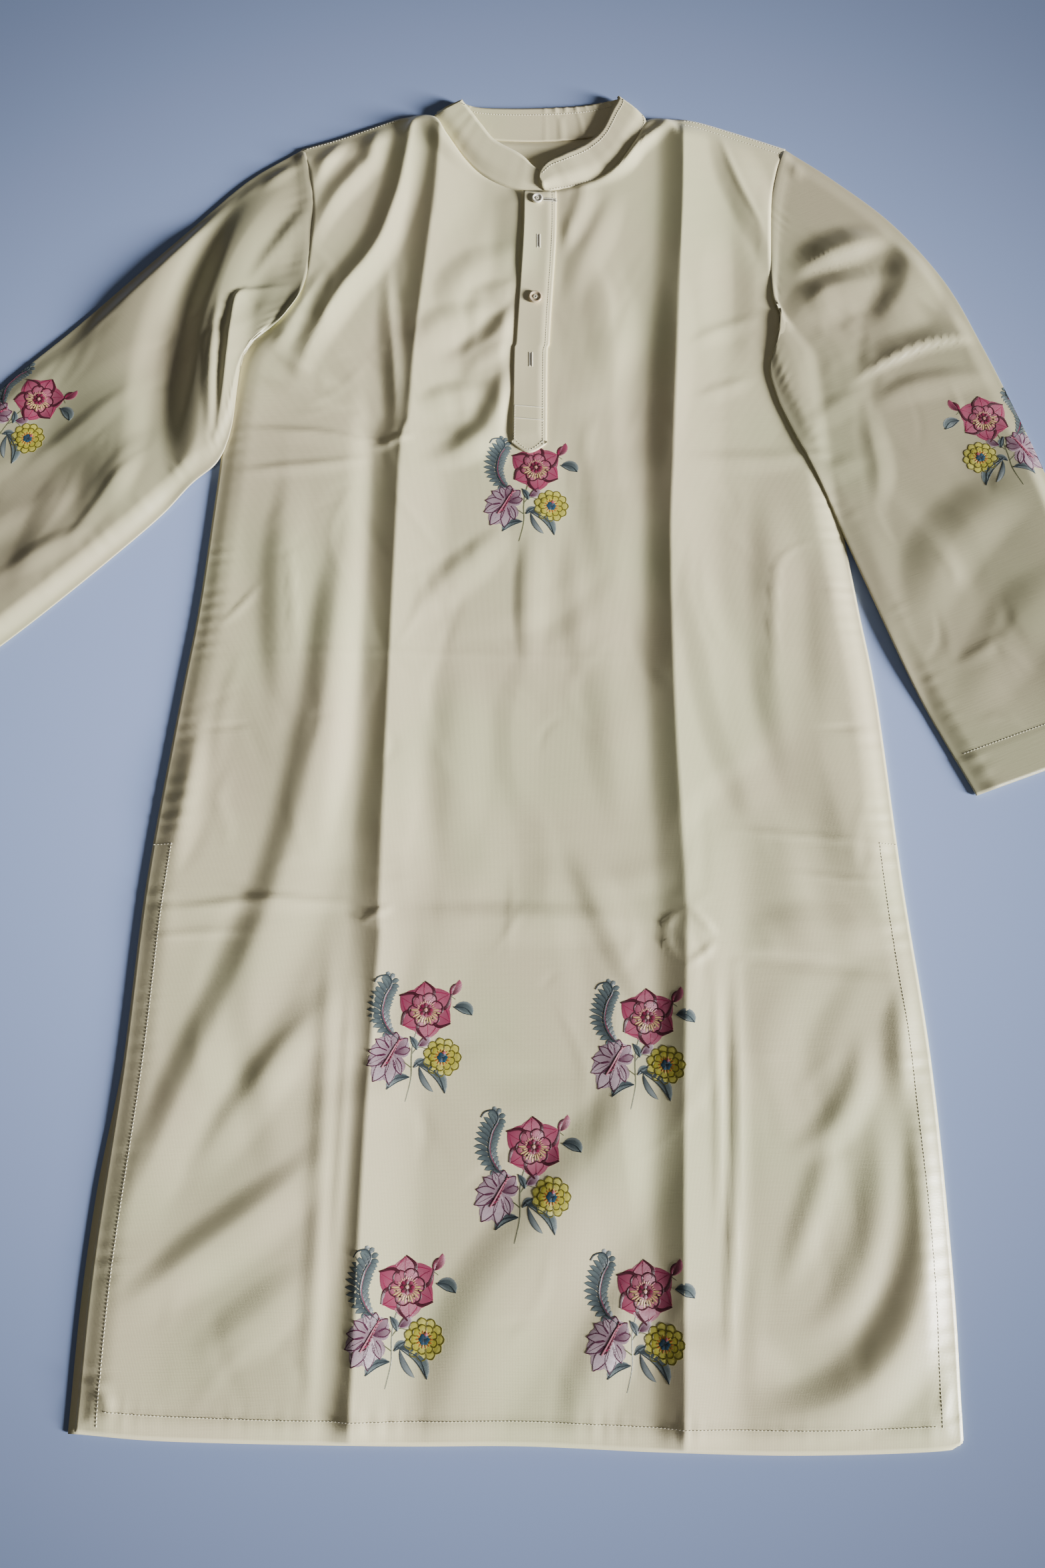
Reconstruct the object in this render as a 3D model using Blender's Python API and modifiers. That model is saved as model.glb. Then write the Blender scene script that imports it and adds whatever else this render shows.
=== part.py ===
"""Kurta tunic: a long-sleeved, side-vented pullover of ivory silk-cotton, laid flat on its back.

Two body panels lie on each other. The sleeves are flattened tubes, sewn at the armholes, and their
underarm corners fold over the body. A stand collar, a placket and two buttons lie on the front.
"""
import math

import bmesh
import bpy
import numpy as np
from mathutils import Vector

# Driving sizes in metres. X runs across the garment and Y from the hem up to the collar, as it lies
# face up. The tables measure x from the body's centre line and y from the waist, and PLACE_SHIFT
# brings the middle of the garment's box to the origin.
PLACE_SHIFT = Vector((0.0535, -0.0823, 0.0))
MM = 0.001
CLOTH = 1.5 * MM
SEAM_GAP = 0.3 * MM
LAP_GAP = 0.5 * MM
FRONT_LEVEL = CLOTH + SEAM_GAP
AIR = 2.4 * MM
EDGE_FADE = 0.032
CALM_FADE = 0.020
LEAST_LIFT = 0.2 * MM
ROW_STEP = 0.0225
COLUMNS_BETWEEN_GUIDES = (9, 1, 1, 5, 1, 4, 1, 1, 1, 9)
SLOT_GUIDE = 4
CREASE_LEFT_FLANK = 0.015
CREASE_RIGHT_FLANK = 0.014

HEM_Y = -0.483
HEM_DEPTH = 0.018
HEM_RISE = 0.7 * MM
HEM_WANDER_DEPTH = 0.12
BACK_PEEP = 5 * MM
VENT_TOP_Y = -0.050
CHEST_Y = 0.400
SHOULDER_Y = 0.599

PLACKET_WIDTH = 0.030
SLOT_WIDTH = 0.021
SLOT_INSET = 0.005
SLOT_BOTTOM_Y = 0.335
PLACKET_BOTTOM_Y = 0.290
PLACKET_LIFT = 1.2 * MM
PLACKET_COLUMNS = (0.0, 0.22, 0.5, 0.78, 1.0)
PLACKET_LIFT_SHARES = (1.0, 0.4, 0.1, 0.0, 0.0)
PLACKET_TOP_GAP = 3.5 * MM
PLACKET_POINT = 0.010
PLACKET_POINT_WIDTH = 0.45

SLEEVE_STEP = 0.021
SLEEVE_COLUMNS = 12
SLEEVE_UNDER_SHARES = (0.90, 0.80, 0.70, 0.58, 0.35)
SLEEVE_EDGE = 2 * CLOTH + 2 * SEAM_GAP
SLEEVE_CLEAR = 1.4 * MM
CLIMB_START = 0.044
CLIMB_RUN = 0.024
RIM_BULGE = 10 * MM
SEAM_LAP = 2.5 * MM
SEAM_RISE = 1.9 * MM
SLEEVE_FADE = 0.024
SEAM_CLEAR = 1.5 * MM
CUFF_DEPTH = 0.035
ARMHOLE_BLEND = 0.08

BUTTON_THICK = 2.4 * MM
BUTTON_HOLE = 1.3 * MM
BUTTON_HOLE_RING = 0.29

# The body's sides from hem to shoulder, through the underarm and up the armhole: y, left x, right x
BODY_SIDES = (
    (-0.490, -0.320, 0.314),
    (-0.370, -0.317, 0.316),
    (-0.220, -0.305, 0.312),
    (-0.080, -0.297, 0.300),
    (0.070, -0.280, 0.290),
    (0.150, -0.270, 0.280),
    (0.250, -0.262, 0.268),
    (0.330, -0.256, 0.263),
    (0.388, -0.247, 0.257),
    (0.425, -0.212, 0.230),
    (0.460, -0.196, 0.2235),
    (0.530, -0.191, 0.2255),
    (0.572, -0.196, 0.233),
    (SHOULDER_Y, -0.203, 0.242),
)
# The front's upper edge: left shoulder, neckline, right shoulder: x, y
FRONT_TOP = (
    (-0.203, 0.599), (-0.170, 0.610), (-0.140, 0.622), (-0.110, 0.633), (-0.083, 0.634),
    (-0.070, 0.615), (-0.052, 0.587), (-0.035, 0.570), (-0.010, 0.557), (0.018, 0.5535),
    (0.050, 0.560), (0.070, 0.568), (0.086, 0.581), (0.104, 0.609), (0.116, 0.630),
    (0.138, 0.6315), (0.160, 0.629), (0.200, 0.615), (0.242, 0.599),
)
# The back's neckline, far higher than the front's: x, y
BACK_NECK = ((-0.083, 0.634), (-0.066, 0.624), (-0.035, 0.613), (0.010, 0.610), (0.055, 0.613),
             (0.092, 0.621), (0.116, 0.630))
# How far the hem edge strays from HEM_Y: x, offset
HEM_WANDER = ((-0.320, 0.008), (-0.250, 0.003), (-0.100, 0.0), (0.000, 0.0), (0.100, -0.004),
              (0.200, -0.006), (0.300, -0.003), (0.316, 0.004))
# The two pressed creases, which also guide the front's columns: y, left x, right x
PRESS_CREASES = (
    (-0.483, -0.123, 0.115),
    (-0.300, -0.119, 0.120),
    (-0.120, -0.112, 0.129),
    (0.050, -0.110, 0.124),
    (0.200, -0.107, 0.124),
    (0.290, -0.105, 0.129),
    (0.340, -0.098, 0.132),
    (0.470, -0.090, 0.140),
    (0.570, -0.083, 0.146),
    (0.640, -0.083, 0.148),
)
# The placket's free left edge and the column that runs up to the neckline's right end: y, x
PLACKET_EDGE = ((-0.483, -0.012), (0.300, -0.009), (0.400, -0.006), (0.500, 0.000), (0.560, 0.001))
NECK_COLUMN = ((-0.483, 0.075), (0.400, 0.088), (0.540, 0.104), (SHOULDER_Y, 0.116))

# Folds: what it is, height (a trough is below zero), half width, path of (x, y)
FRONT_FOLDS = (
    ("left press crease", 2.4 * MM, 0.016,
     ((-0.083, 0.600), (-0.090, 0.470), (-0.105, 0.290), (-0.110, 0.050), (-0.114, -0.200),
      (-0.123, -0.480))),
    ("right press crease", 2.0 * MM, 0.014,
     ((0.148, 0.600), (0.140, 0.470), (0.124, 0.200), (0.126, -0.060), (0.122, -0.250), (0.115, -0.480))),
    ("chest drag trough", -2.2 * MM, 0.024,
     ((-0.105, 0.630), (-0.112, 0.575), (-0.140, 0.530), (-0.170, 0.480), (-0.205, 0.440))),
    ("chest drag ridge", 5.5 * MM, 0.026,
     ((-0.100, 0.570), (-0.120, 0.500), (-0.155, 0.440), (-0.185, 0.385))),
    ("inner chest trough", -2.0 * MM, 0.020,
     ((-0.072, 0.560), (-0.088, 0.505), (-0.118, 0.470), (-0.150, 0.435))),
    ("shoulder ridge", 4.0 * MM, 0.020,
     ((-0.128, 0.615), (-0.150, 0.580), (-0.172, 0.535))),
    ("placket side trough", -1.8 * MM, 0.020,
     ((-0.012, 0.445), (-0.040, 0.412), (-0.068, 0.385))),
    ("right shoulder ridge", 4.0 * MM, 0.024,
     ((0.178, 0.605), (0.205, 0.545), (0.214, 0.490), (0.205, 0.440))),
    ("right collar ridge", 3.0 * MM, 0.020,
     ((0.128, 0.610), (0.102, 0.575), (0.086, 0.545))),
    ("right chest swell", 2.6 * MM, 0.045,
     ((0.085, 0.500), (0.080, 0.400), (0.090, 0.300))),
    ("upper cross crease", 2.0 * MM, 0.020,
     ((-0.250, 0.280), (-0.180, 0.300), (-0.105, 0.285), (-0.020, 0.272))),
    ("left side ridge", 3.4 * MM, 0.026,
     ((-0.235, 0.245), (-0.190, 0.215), (-0.150, 0.165))),
    ("centre waist trough", -2.0 * MM, 0.020,
     ((-0.020, 0.240), (-0.005, 0.170), (0.000, 0.095))),
    ("centre waist ridge", 3.2 * MM, 0.024,
     ((0.025, 0.235), (0.022, 0.160), (0.030, 0.095))),
    ("lower cross crease, left", -2.2 * MM, 0.018,
     ((-0.290, -0.095), (-0.200, -0.090), (-0.130, -0.112), (-0.030, -0.102))),
    ("lower cross crease, right", -2.2 * MM, 0.018,
     ((0.020, -0.100), (0.120, -0.112), (0.200, -0.100), (0.290, -0.105))),
    ("left hip trough", -2.4 * MM, 0.024,
     ((-0.165, 0.100), (-0.172, 0.000), (-0.205, -0.120), (-0.285, -0.245))),
    ("left hip ridge", 5.5 * MM, 0.026,
     ((-0.142, 0.060), (-0.150, -0.020), (-0.180, -0.135), (-0.240, -0.230))),
    ("left skirt trough", -2.4 * MM, 0.022,
     ((-0.175, -0.275), (-0.220, -0.318), (-0.295, -0.365))),
    ("left skirt ridge", 5.0 * MM, 0.024,
     ((-0.195, -0.325), (-0.240, -0.365), (-0.285, -0.395))),
    ("left skirt stripe", 3.0 * MM, 0.018,
     ((-0.152, -0.190), (-0.150, -0.300), (-0.158, -0.420))),
    ("centre skirt swell", 3.0 * MM, 0.040,
     ((0.000, -0.140), (-0.010, -0.260), (0.000, -0.400))),
    ("right skirt ridge", 4.0 * MM, 0.022,
     ((0.158, -0.150), (0.156, -0.280), (0.150, -0.430))),
    ("right skirt trough", -2.4 * MM, 0.024,
     ((0.298, -0.190), (0.290, -0.320), (0.262, -0.410), (0.200, -0.458))),
    ("right skirt wave", 6.0 * MM, 0.028,
     ((0.264, -0.220), (0.258, -0.310), (0.225, -0.385), (0.170, -0.432))),
    ("right hip ridge", 3.6 * MM, 0.028,
     ((0.210, 0.060), (0.205, -0.020), (0.235, -0.080))),
)
# The sleeve of the wearer's right arm lies on the -X side and runs outwards
RIGHT_SLEEVE_FOLDS = (
    ("underarm valley", -5.5 * MM, 0.020,
     ((-0.222, 0.470), (-0.255, 0.452), (-0.266, 0.400), (-0.270, 0.320))),
    ("underarm lip", 9.0 * MM, 0.018,
     ((-0.225, 0.440), (-0.247, 0.425), (-0.252, 0.375), (-0.256, 0.320))),
    ("long valley", -5.5 * MM, 0.022,
     ((-0.236, 0.545), (-0.262, 0.490), (-0.284, 0.420), (-0.296, 0.300))),
    ("cap ridge", 7.0 * MM, 0.026,
     ((-0.212, 0.560), (-0.218, 0.515), (-0.240, 0.462), (-0.275, 0.420), (-0.280, 0.340))),
    ("outer ridge", 7.0 * MM, 0.030,
     ((-0.270, 0.525), (-0.300, 0.460), (-0.320, 0.380), (-0.325, 0.300))),
    ("elbow trough", -3.5 * MM, 0.026,
     ((-0.385, 0.400), (-0.375, 0.320), (-0.350, 0.235))),
    ("forearm ridge", 4.0 * MM, 0.030,
     ((-0.420, 0.340), (-0.470, 0.250), (-0.530, 0.170))),
    ("cuff trough", -2.5 * MM, 0.022,
     ((-0.490, 0.280), (-0.530, 0.225), (-0.575, 0.160))),
)
# The sleeve of the wearer's left arm lies on the +X side and runs down beside the body
LEFT_SLEEVE_FOLDS = (
    ("cap valley", -4.5 * MM, 0.018,
     ((0.240, 0.470), (0.268, 0.508), (0.308, 0.518), (0.345, 0.497))),
    ("cap ridge", 6.0 * MM, 0.022,
     ((0.335, 0.478), (0.295, 0.482), (0.252, 0.456), (0.236, 0.430))),
    ("cap swell", 5.0 * MM, 0.034,
     ((0.262, 0.560), (0.300, 0.535), (0.330, 0.512))),
    ("elbow hook valley", -4.5 * MM, 0.018,
     ((0.352, 0.492), (0.352, 0.462), (0.325, 0.435), (0.300, 0.412))),
    ("elbow ridge", 7.0 * MM, 0.024,
     ((0.300, 0.366), (0.332, 0.386), (0.366, 0.404), (0.402, 0.412))),
    ("underarm lip", 6.0 * MM, 0.022,
     ((0.234, 0.398), (0.232, 0.362), (0.246, 0.318), (0.264, 0.270))),
    ("underarm trough", -4.0 * MM, 0.020,
     ((0.262, 0.400), (0.268, 0.350), (0.290, 0.300))),
    ("forearm swell", 4.5 * MM, 0.036,
     ((0.360, 0.300), (0.385, 0.200), (0.415, 0.090))),
    ("forearm trough", -3.0 * MM, 0.022,
     ((0.318, 0.210), (0.350, 0.110), (0.378, 0.040))),
)

# Sleeve edges from armhole to cuff: outer x, outer y, underarm x, underarm y
RIGHT_SLEEVE_EDGES = (
    (-0.203, 0.599, -0.247, 0.388),
    (-0.250, 0.566, -0.249, 0.350),
    (-0.295, 0.520, -0.252, 0.312),
    (-0.340, 0.473, -0.262, 0.283),
    (-0.395, 0.415, -0.283, 0.262),
    (-0.450, 0.360, -0.322, 0.219),
    (-0.530, 0.267, -0.415, 0.132),
    (-0.612, 0.165, -0.512, 0.052),
)
LEFT_SLEEVE_EDGES = (
    (0.242, 0.599, 0.2395, 0.412),
    (0.285, 0.566, 0.217, 0.378),
    (0.335, 0.520, 0.220, 0.345),
    (0.378, 0.460, 0.232, 0.312),
    (0.406, 0.395, 0.246, 0.280),
    (0.428, 0.335, 0.262, 0.241),
    (0.452, 0.262, 0.284, 0.180),
    (0.480, 0.150, 0.322, 0.080),
    (0.506, 0.041, 0.365, -0.010),
)

# The collar strip, from its tucked end round the back to its rounded end on top, in three runs
# parted by its folds: seam x, seam y, top x, top y
COLLAR_TUCKED_RUN = (
    (0.026, 0.5530, 0.022, 0.567),
    (0.010, 0.5535, 0.010, 0.577),
    (-0.011, 0.5550, -0.002, 0.590),
    (-0.036, 0.5680, -0.025, 0.605),
    (-0.053, 0.5850, -0.037, 0.621),
    (-0.071, 0.6130, -0.049, 0.639),
    (-0.082, 0.6290, -0.055, 0.647),
    (-0.079, 0.6375, -0.056, 0.650),
)
COLLAR_BACK_RUN = (
    (-0.079, 0.6375, -0.056, 0.650),
    (-0.062, 0.6215, -0.044, 0.6455),
    (-0.035, 0.6110, -0.025, 0.6440),
    (0.010, 0.6080, 0.012, 0.6440),
    (0.055, 0.6110, 0.050, 0.6460),
    (0.090, 0.6200, 0.073, 0.6500),
    (0.110, 0.6360, 0.089, 0.6540),
)
COLLAR_TOP_RUN = (
    (0.110, 0.6360, 0.089, 0.6540),
    (0.114, 0.6260, 0.088, 0.6500),
    (0.105, 0.6080, 0.083, 0.6400),
    (0.093, 0.5880, 0.072, 0.6160),
    (0.078, 0.5700, 0.056, 0.6010),
    (0.052, 0.5580, 0.035, 0.5880),
    (0.036, 0.5545, 0.024, 0.5820),
    (0.026, 0.5530, 0.0165, 0.5720),
    (0.0185, 0.5535, 0.0150, 0.5610),
)
COLLAR_FOLD_RADIUS = 2.1 * MM
COLLAR_CLIMB = 1.9 * MM
COLLAR_ROWS = 11
COLLAR_TOP_ROWS = 14
COLLAR_CLIMB_ROW = 7
COLLAR_COLUMNS = (0.0, 0.34, 0.68, 1.0)
COLLAR_LEFT_FOLD_OUT = (-0.5, 0.866)
COLLAR_RIGHT_FOLD_OUT = (0.6, 0.8)

# Buttons on the placket: name, diameter, y, distance from the placket's free edge
BUTTONS = (
    ("button_neck", 0.0098, 0.541, 0.0125),
    ("button_chest", 0.0120, 0.440, 0.0150),
)

IVORY = (0.72, 0.68, 0.56)
IVORY_SHADE = (0.66, 0.62, 0.50)
BEIGE = (0.62, 0.54, 0.40)


def smoothstep(value):
    value = np.clip(value, 0.0, 1.0)
    return value * value * (3.0 - 2.0 * value)


def through(points, count):
    """Sample a smooth curve through the points: a Catmull-Rom spline, evenly spaced along its length."""
    keys = np.asarray(points, dtype=float)
    padded = np.vstack((2 * keys[0] - keys[1], keys, 2 * keys[-1] - keys[-2]))
    pieces = []
    for a, b, c, d in zip(padded[:-3], padded[1:-2], padded[2:-1], padded[3:]):
        t = np.linspace(0.0, 1.0, 24, endpoint=False)[:, None]
        pieces.append(0.5 * (2 * b + (c - a) * t + (2 * a - 5 * b + 4 * c - d) * t * t
                             + (3 * b - a - 3 * c + d) * t * t * t))
    dense = np.vstack(pieces + [keys[-1:]])
    steps = np.linalg.norm(np.diff(dense[:, :2], axis=0), axis=1)
    length = np.concatenate(([0.0], np.cumsum(steps)))
    wanted = np.linspace(0.0, length[-1], count)
    return np.column_stack([np.interp(wanted, length, column) for column in dense.T])


def lookup(table, column):
    """Turn a table into a smooth function of its first column."""
    curve = through([(row[0], row[column]) for row in table], 400)
    return lambda value: np.interp(value, curve[:, 0], curve[:, 1])


left_side = lookup(BODY_SIDES, 1)
right_side = lookup(BODY_SIDES, 2)
front_top = lookup(FRONT_TOP, 1)
back_neck = lookup(BACK_NECK, 1)
hem_wander = lookup(HEM_WANDER, 1)
left_press = lookup(PRESS_CREASES, 1)
right_press = lookup(PRESS_CREASES, 2)
placket_edge = lookup(PLACKET_EDGE, 1)
neck_column = lookup(NECK_COLUMN, 1)


def hem_edge(x):
    return HEM_Y + hem_wander(x)


def folded(x, y, folds):
    """Add up the ridges and troughs at each point, each one fading at its sides and ends."""
    height = np.zeros_like(x)
    for _, rise, half_width, path in folds:
        line = through(path, 48)
        away = np.hypot(x[..., None] - line[:, 0], y[..., None] - line[:, 1])
        nearest = np.argmin(away, axis=-1)
        across = np.clip(np.min(away, axis=-1) / half_width, 0.0, 1.0)
        along = nearest / (len(line) - 1.0)
        ends = smoothstep(along / 0.2 + 0.25) * smoothstep((1.0 - along) / 0.2 + 0.25)
        height += rise * (1.0 - across ** 2) ** 2 * ends
    return height


def front_height(x, y):
    """Give the front's height over the back: air under it, folds in it, all flat at its edges."""
    inside = np.minimum(np.minimum(x - left_side(y), right_side(y) - x), front_top(x) - y)
    fade = smoothstep(inside / EDGE_FADE) * smoothstep((y - hem_edge(x)) / EDGE_FADE + 0.4)
    beside = np.abs(x - placket_edge(y) - 0.5 * PLACKET_WIDTH) - 0.6 * PLACKET_WIDTH
    below = PLACKET_BOTTOM_Y - 0.5 * PLACKET_WIDTH - y
    calm = smoothstep(np.maximum(beside, below) / CALM_FADE)
    hem = HEM_RISE * (y < hem_edge(x) + HEM_DEPTH)
    return fade * np.maximum(AIR + calm * folded(x, y, FRONT_FOLDS), LEAST_LIFT) + hem


def spaced(stops, step):
    """Fill the stretches between fixed stops with even steps no longer than step."""
    values = [stops[0]]
    for start, end in zip(stops[:-1], stops[1:]):
        count = max(1, math.ceil((end - start) / step - 1e-6))
        values.extend(start + (end - start) * (k + 1) / count for k in range(count))
    return values


def cloth_material(name, colour, roughness):
    material = bpy.data.materials.new(name)
    material.use_nodes = True
    shader = material.node_tree.nodes["Principled BSDF"]
    shader.inputs["Base Color"].default_value = (*colour, 1.0)
    shader.inputs["Roughness"].default_value = roughness
    shader.inputs["Metallic"].default_value = 0.0
    return material


def place(name, mesh, colour, roughness=0.55):
    """Put a mesh in the garment's collection, with a material of its own."""
    piece = bpy.data.objects.new(name, mesh)
    piece.data.materials.append(cloth_material(name + "_finish", colour, roughness))
    garment.objects.link(piece)
    return piece


def sheet(name, grid, colour, wall_side, closed=False, left_out=()):
    """Loft a grid of points into an open surface and thicken it to the cloth's wall.

    The grid is indexed row, column, axis. A closed sheet joins its last column to its first, and
    left_out names the quads, by row and column, that a slot leaves open.
    """
    rows, columns = grid.shape[:2]
    lofted = bmesh.new()
    points = [[lofted.verts.new(Vector(point) + PLACE_SHIFT) for point in row] for row in grid]
    across = columns if closed else columns - 1
    for row in range(rows - 1):
        for column in range(across):
            if (row, column) in left_out:
                continue
            beside = (column + 1) % columns
            lofted.faces.new((points[row][column], points[row][beside],
                              points[row + 1][beside], points[row + 1][column]))
    loose = [vertex for vertex in lofted.verts if not vertex.link_faces]
    bmesh.ops.delete(lofted, geom=loose, context="VERTS")
    mesh = bpy.data.meshes.new(name)
    lofted.to_mesh(mesh)
    lofted.free()
    mesh.shade_smooth()
    piece = place(name, mesh, colour)
    wall = piece.modifiers.new("Wall", "SOLIDIFY")
    wall.thickness = CLOTH
    wall.offset = wall_side
    return piece


def make_back_panel():
    """Cut the back flat: hem, side, armhole, shoulder and neck in one outline."""
    left_y = np.array(spaced([HEM_Y + HEM_WANDER[0][1], CHEST_Y, SHOULDER_Y], ROW_STEP))
    left_x = left_side(left_y) - BACK_PEEP * smoothstep((4 * VENT_TOP_Y - left_y) / HEM_WANDER_DEPTH)
    right_y = np.array(spaced([HEM_Y + HEM_WANDER[-1][1], CHEST_Y, SHOULDER_Y], ROW_STEP))
    left_shoulder = np.array(spaced([-0.190, -0.095], ROW_STEP))
    neck = np.array(spaced([BACK_NECK[0][0], BACK_NECK[-1][0]], 0.5 * ROW_STEP))
    right_shoulder = np.array(spaced([0.130, 0.230], ROW_STEP))
    hem_x = np.array(spaced([-0.300, 0.300], 2 * ROW_STEP))
    outline = np.vstack((
        np.column_stack((left_x, left_y)),
        np.column_stack((left_shoulder, front_top(left_shoulder))),
        np.column_stack((neck, back_neck(neck))),
        np.column_stack((right_shoulder, front_top(right_shoulder))),
        np.column_stack((right_side(right_y), right_y))[::-1],
        np.column_stack((hem_x, hem_edge(hem_x)))[::-1],
    ))
    cut = bpy.data.curves.new("back_panel", "CURVE")
    cut.dimensions = "2D"
    cut.fill_mode = "BOTH"
    cut.extrude = 0.5 * CLOTH
    line = cut.splines.new("POLY")
    line.points.add(len(outline) - 1)
    for point, (x, y) in zip(line.points, outline):
        point.co = (x, y, 0.0, 1.0)
    line.use_cyclic_u = True
    piece = place("back_panel", cut, IVORY_SHADE)
    piece.location = PLACE_SHIFT + Vector((0.0, 0.0, 0.5 * CLOTH))
    return piece


def front_points():
    """Lay out the front's rows and columns, with a column along each crease and slot edge."""
    hem_line = HEM_Y + HEM_DEPTH
    levels = np.array(spaced([HEM_Y, hem_line - MM, hem_line + MM, PLACKET_BOTTOM_Y,
                              SLOT_BOTTOM_Y, CHEST_Y, SHOULDER_Y], ROW_STEP))
    slot = placket_edge(levels) + SLOT_INSET
    guides = np.column_stack((
        left_side(levels),
        left_press(levels) - CREASE_LEFT_FLANK,
        left_press(levels),
        left_press(levels) + CREASE_RIGHT_FLANK,
        slot,
        slot + SLOT_WIDTH,
        neck_column(levels),
        right_press(levels) - CREASE_RIGHT_FLANK,
        right_press(levels),
        right_press(levels) + CREASE_LEFT_FLANK,
        right_side(levels),
    ))
    stops = np.concatenate(([0], np.cumsum(COLUMNS_BETWEEN_GUIDES)))
    x = np.array([np.interp(np.arange(stops[-1] + 1), stops, row) for row in guides])
    level = np.repeat(levels[:, None], x.shape[1], axis=1)
    above = np.clip((level - CHEST_Y) / (SHOULDER_Y - CHEST_Y), 0.0, 1.0)
    below = smoothstep((HEM_Y + HEM_WANDER_DEPTH - level) / HEM_WANDER_DEPTH)
    y = np.where(level > CHEST_Y, CHEST_Y + above * (front_top(x) - CHEST_Y),
                 level + below * hem_wander(x))
    grid = np.dstack((x, y, FRONT_LEVEL + front_height(x, y)))
    return grid, levels, stops[SLOT_GUIDE]


def make_front_panel(grid, levels, slot_column):
    """Sew the front as one sheet with a slot under the placket, open at the neck."""
    first = int(np.argmin(np.abs(levels - SLOT_BOTTOM_Y)))
    slot = {(row, slot_column) for row in range(first, len(levels) - 1)}
    return sheet("front_panel", grid, IVORY, 1.0, left_out=slot)


def on_front(row, x):
    """Find points on the front's surface, along one of its rows or between two."""
    return np.column_stack((x, np.interp(x, row[:, 0], row[:, 1]), np.interp(x, row[:, 0], row[:, 2])))


def make_placket(grid, levels):
    """Lay the two strips: the lower one fills the slot and the upper one covers it."""
    first = int(np.argmin(np.abs(levels - SLOT_BOTTOM_Y)))
    under = []
    for row, level in zip(grid[first:], levels[first:]):
        start = placket_edge(level) + SLOT_INSET
        strip = on_front(row, np.linspace(start + LAP_GAP, start + SLOT_WIDTH - LAP_GAP, 3))
        under.append(strip)
    under[0][:, 1] += LAP_GAP
    under[-1][:, 1] -= LAP_GAP
    sheet("placket_underlap", np.array(under), IVORY_SHADE, 1.0)

    first = int(np.argmin(np.abs(levels - PLACKET_BOTTOM_Y)))
    over = []
    for row, level in zip(grid[first:], levels[first:]):
        start = placket_edge(level)
        strip = on_front(row, start + PLACKET_WIDTH * np.array(PLACKET_COLUMNS))
        open_edge = PLACKET_LIFT * smoothstep((level - SLOT_BOTTOM_Y) / (2 * PLACKET_WIDTH))
        open_edge *= smoothstep((SHOULDER_Y - level) / (2 * PLACKET_WIDTH))
        strip[:, 2] += CLOTH + LAP_GAP + open_edge * np.array(PLACKET_LIFT_SHARES)
        over.append(strip)
    over[-1][:, 1] -= PLACKET_TOP_GAP
    point = over[0].copy()
    point[:, 0] = point[:, 0].mean() + (point[:, 0] - point[:, 0].mean()) * PLACKET_POINT_WIDTH
    over[0][:, 1] += PLACKET_POINT
    over = np.array([point] + over)
    sheet("placket_overlap", over, IVORY, 1.0)
    return over


def placket_height(over, x, y, reach):
    """Find the highest point of the upper strip within reach of a place, across and along it."""
    row_y = over[:, :, 1].mean(axis=1)
    heights = []
    for near_x in (x - reach, x, x + reach):
        along = [np.interp(near_x, row[:, 0], row[:, 2]) for row in over]
        heights.extend(np.interp((y - reach, y, y + reach), row_y, along))
    return max(heights)


def hairpin(seam, top, outward, high, low):
    """Turn a strip over: five rows round a half circle, from its high layer to its low one."""
    radius = 0.5 * (high - low)
    rows = []
    for turn in np.linspace(0.0, math.pi, 5):
        inset = radius * (1.0 - math.sin(turn))
        level = 0.5 * (high + low) + radius * math.cos(turn)
        rows.append([np.append(end - inset * outward, level) for end in (seam, top)])
    return rows


def make_collar():
    """Wind the stand collar as one strip, folded flat at both sides of the neck.

    Its sections run from the neck seam to the top edge. The faces listed are the outer ones.
    """
    low = FRONT_LEVEL
    high = low + 2 * COLLAR_FOLD_RADIUS
    tucked = through(COLLAR_TUCKED_RUN, COLLAR_ROWS)
    back = through(COLLAR_BACK_RUN, COLLAR_ROWS)
    top = through(COLLAR_TOP_RUN, COLLAR_TOP_ROWS)
    rows = [[np.append(row[0:2], high), np.append(row[2:4], high)] for row in tucked[:-1]]
    rows += hairpin(tucked[-1, 0:2], tucked[-1, 2:4], np.array(COLLAR_LEFT_FOLD_OUT), high, low)
    rows += [[np.append(row[0:2], low), np.append(row[2:4], low)] for row in back[1:-1]]
    rows += hairpin(top[0, 0:2], top[0, 2:4], np.array(COLLAR_RIGHT_FOLD_OUT), high, low)[::-1]
    climb = high + COLLAR_CLIMB * smoothstep((np.arange(1, len(top)) - COLLAR_CLIMB_ROW) / 3.0)
    rows += [[np.append(row[0:2], z), np.append(row[2:4], z)] for row, z in zip(top[1:], climb)]
    across = np.array(COLLAR_COLUMNS)[:, None]
    grid = np.array([seam + (top_edge - seam) * across for seam, top_edge in rows])
    return sheet("collar_band", grid, IVORY, -1.0)


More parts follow.
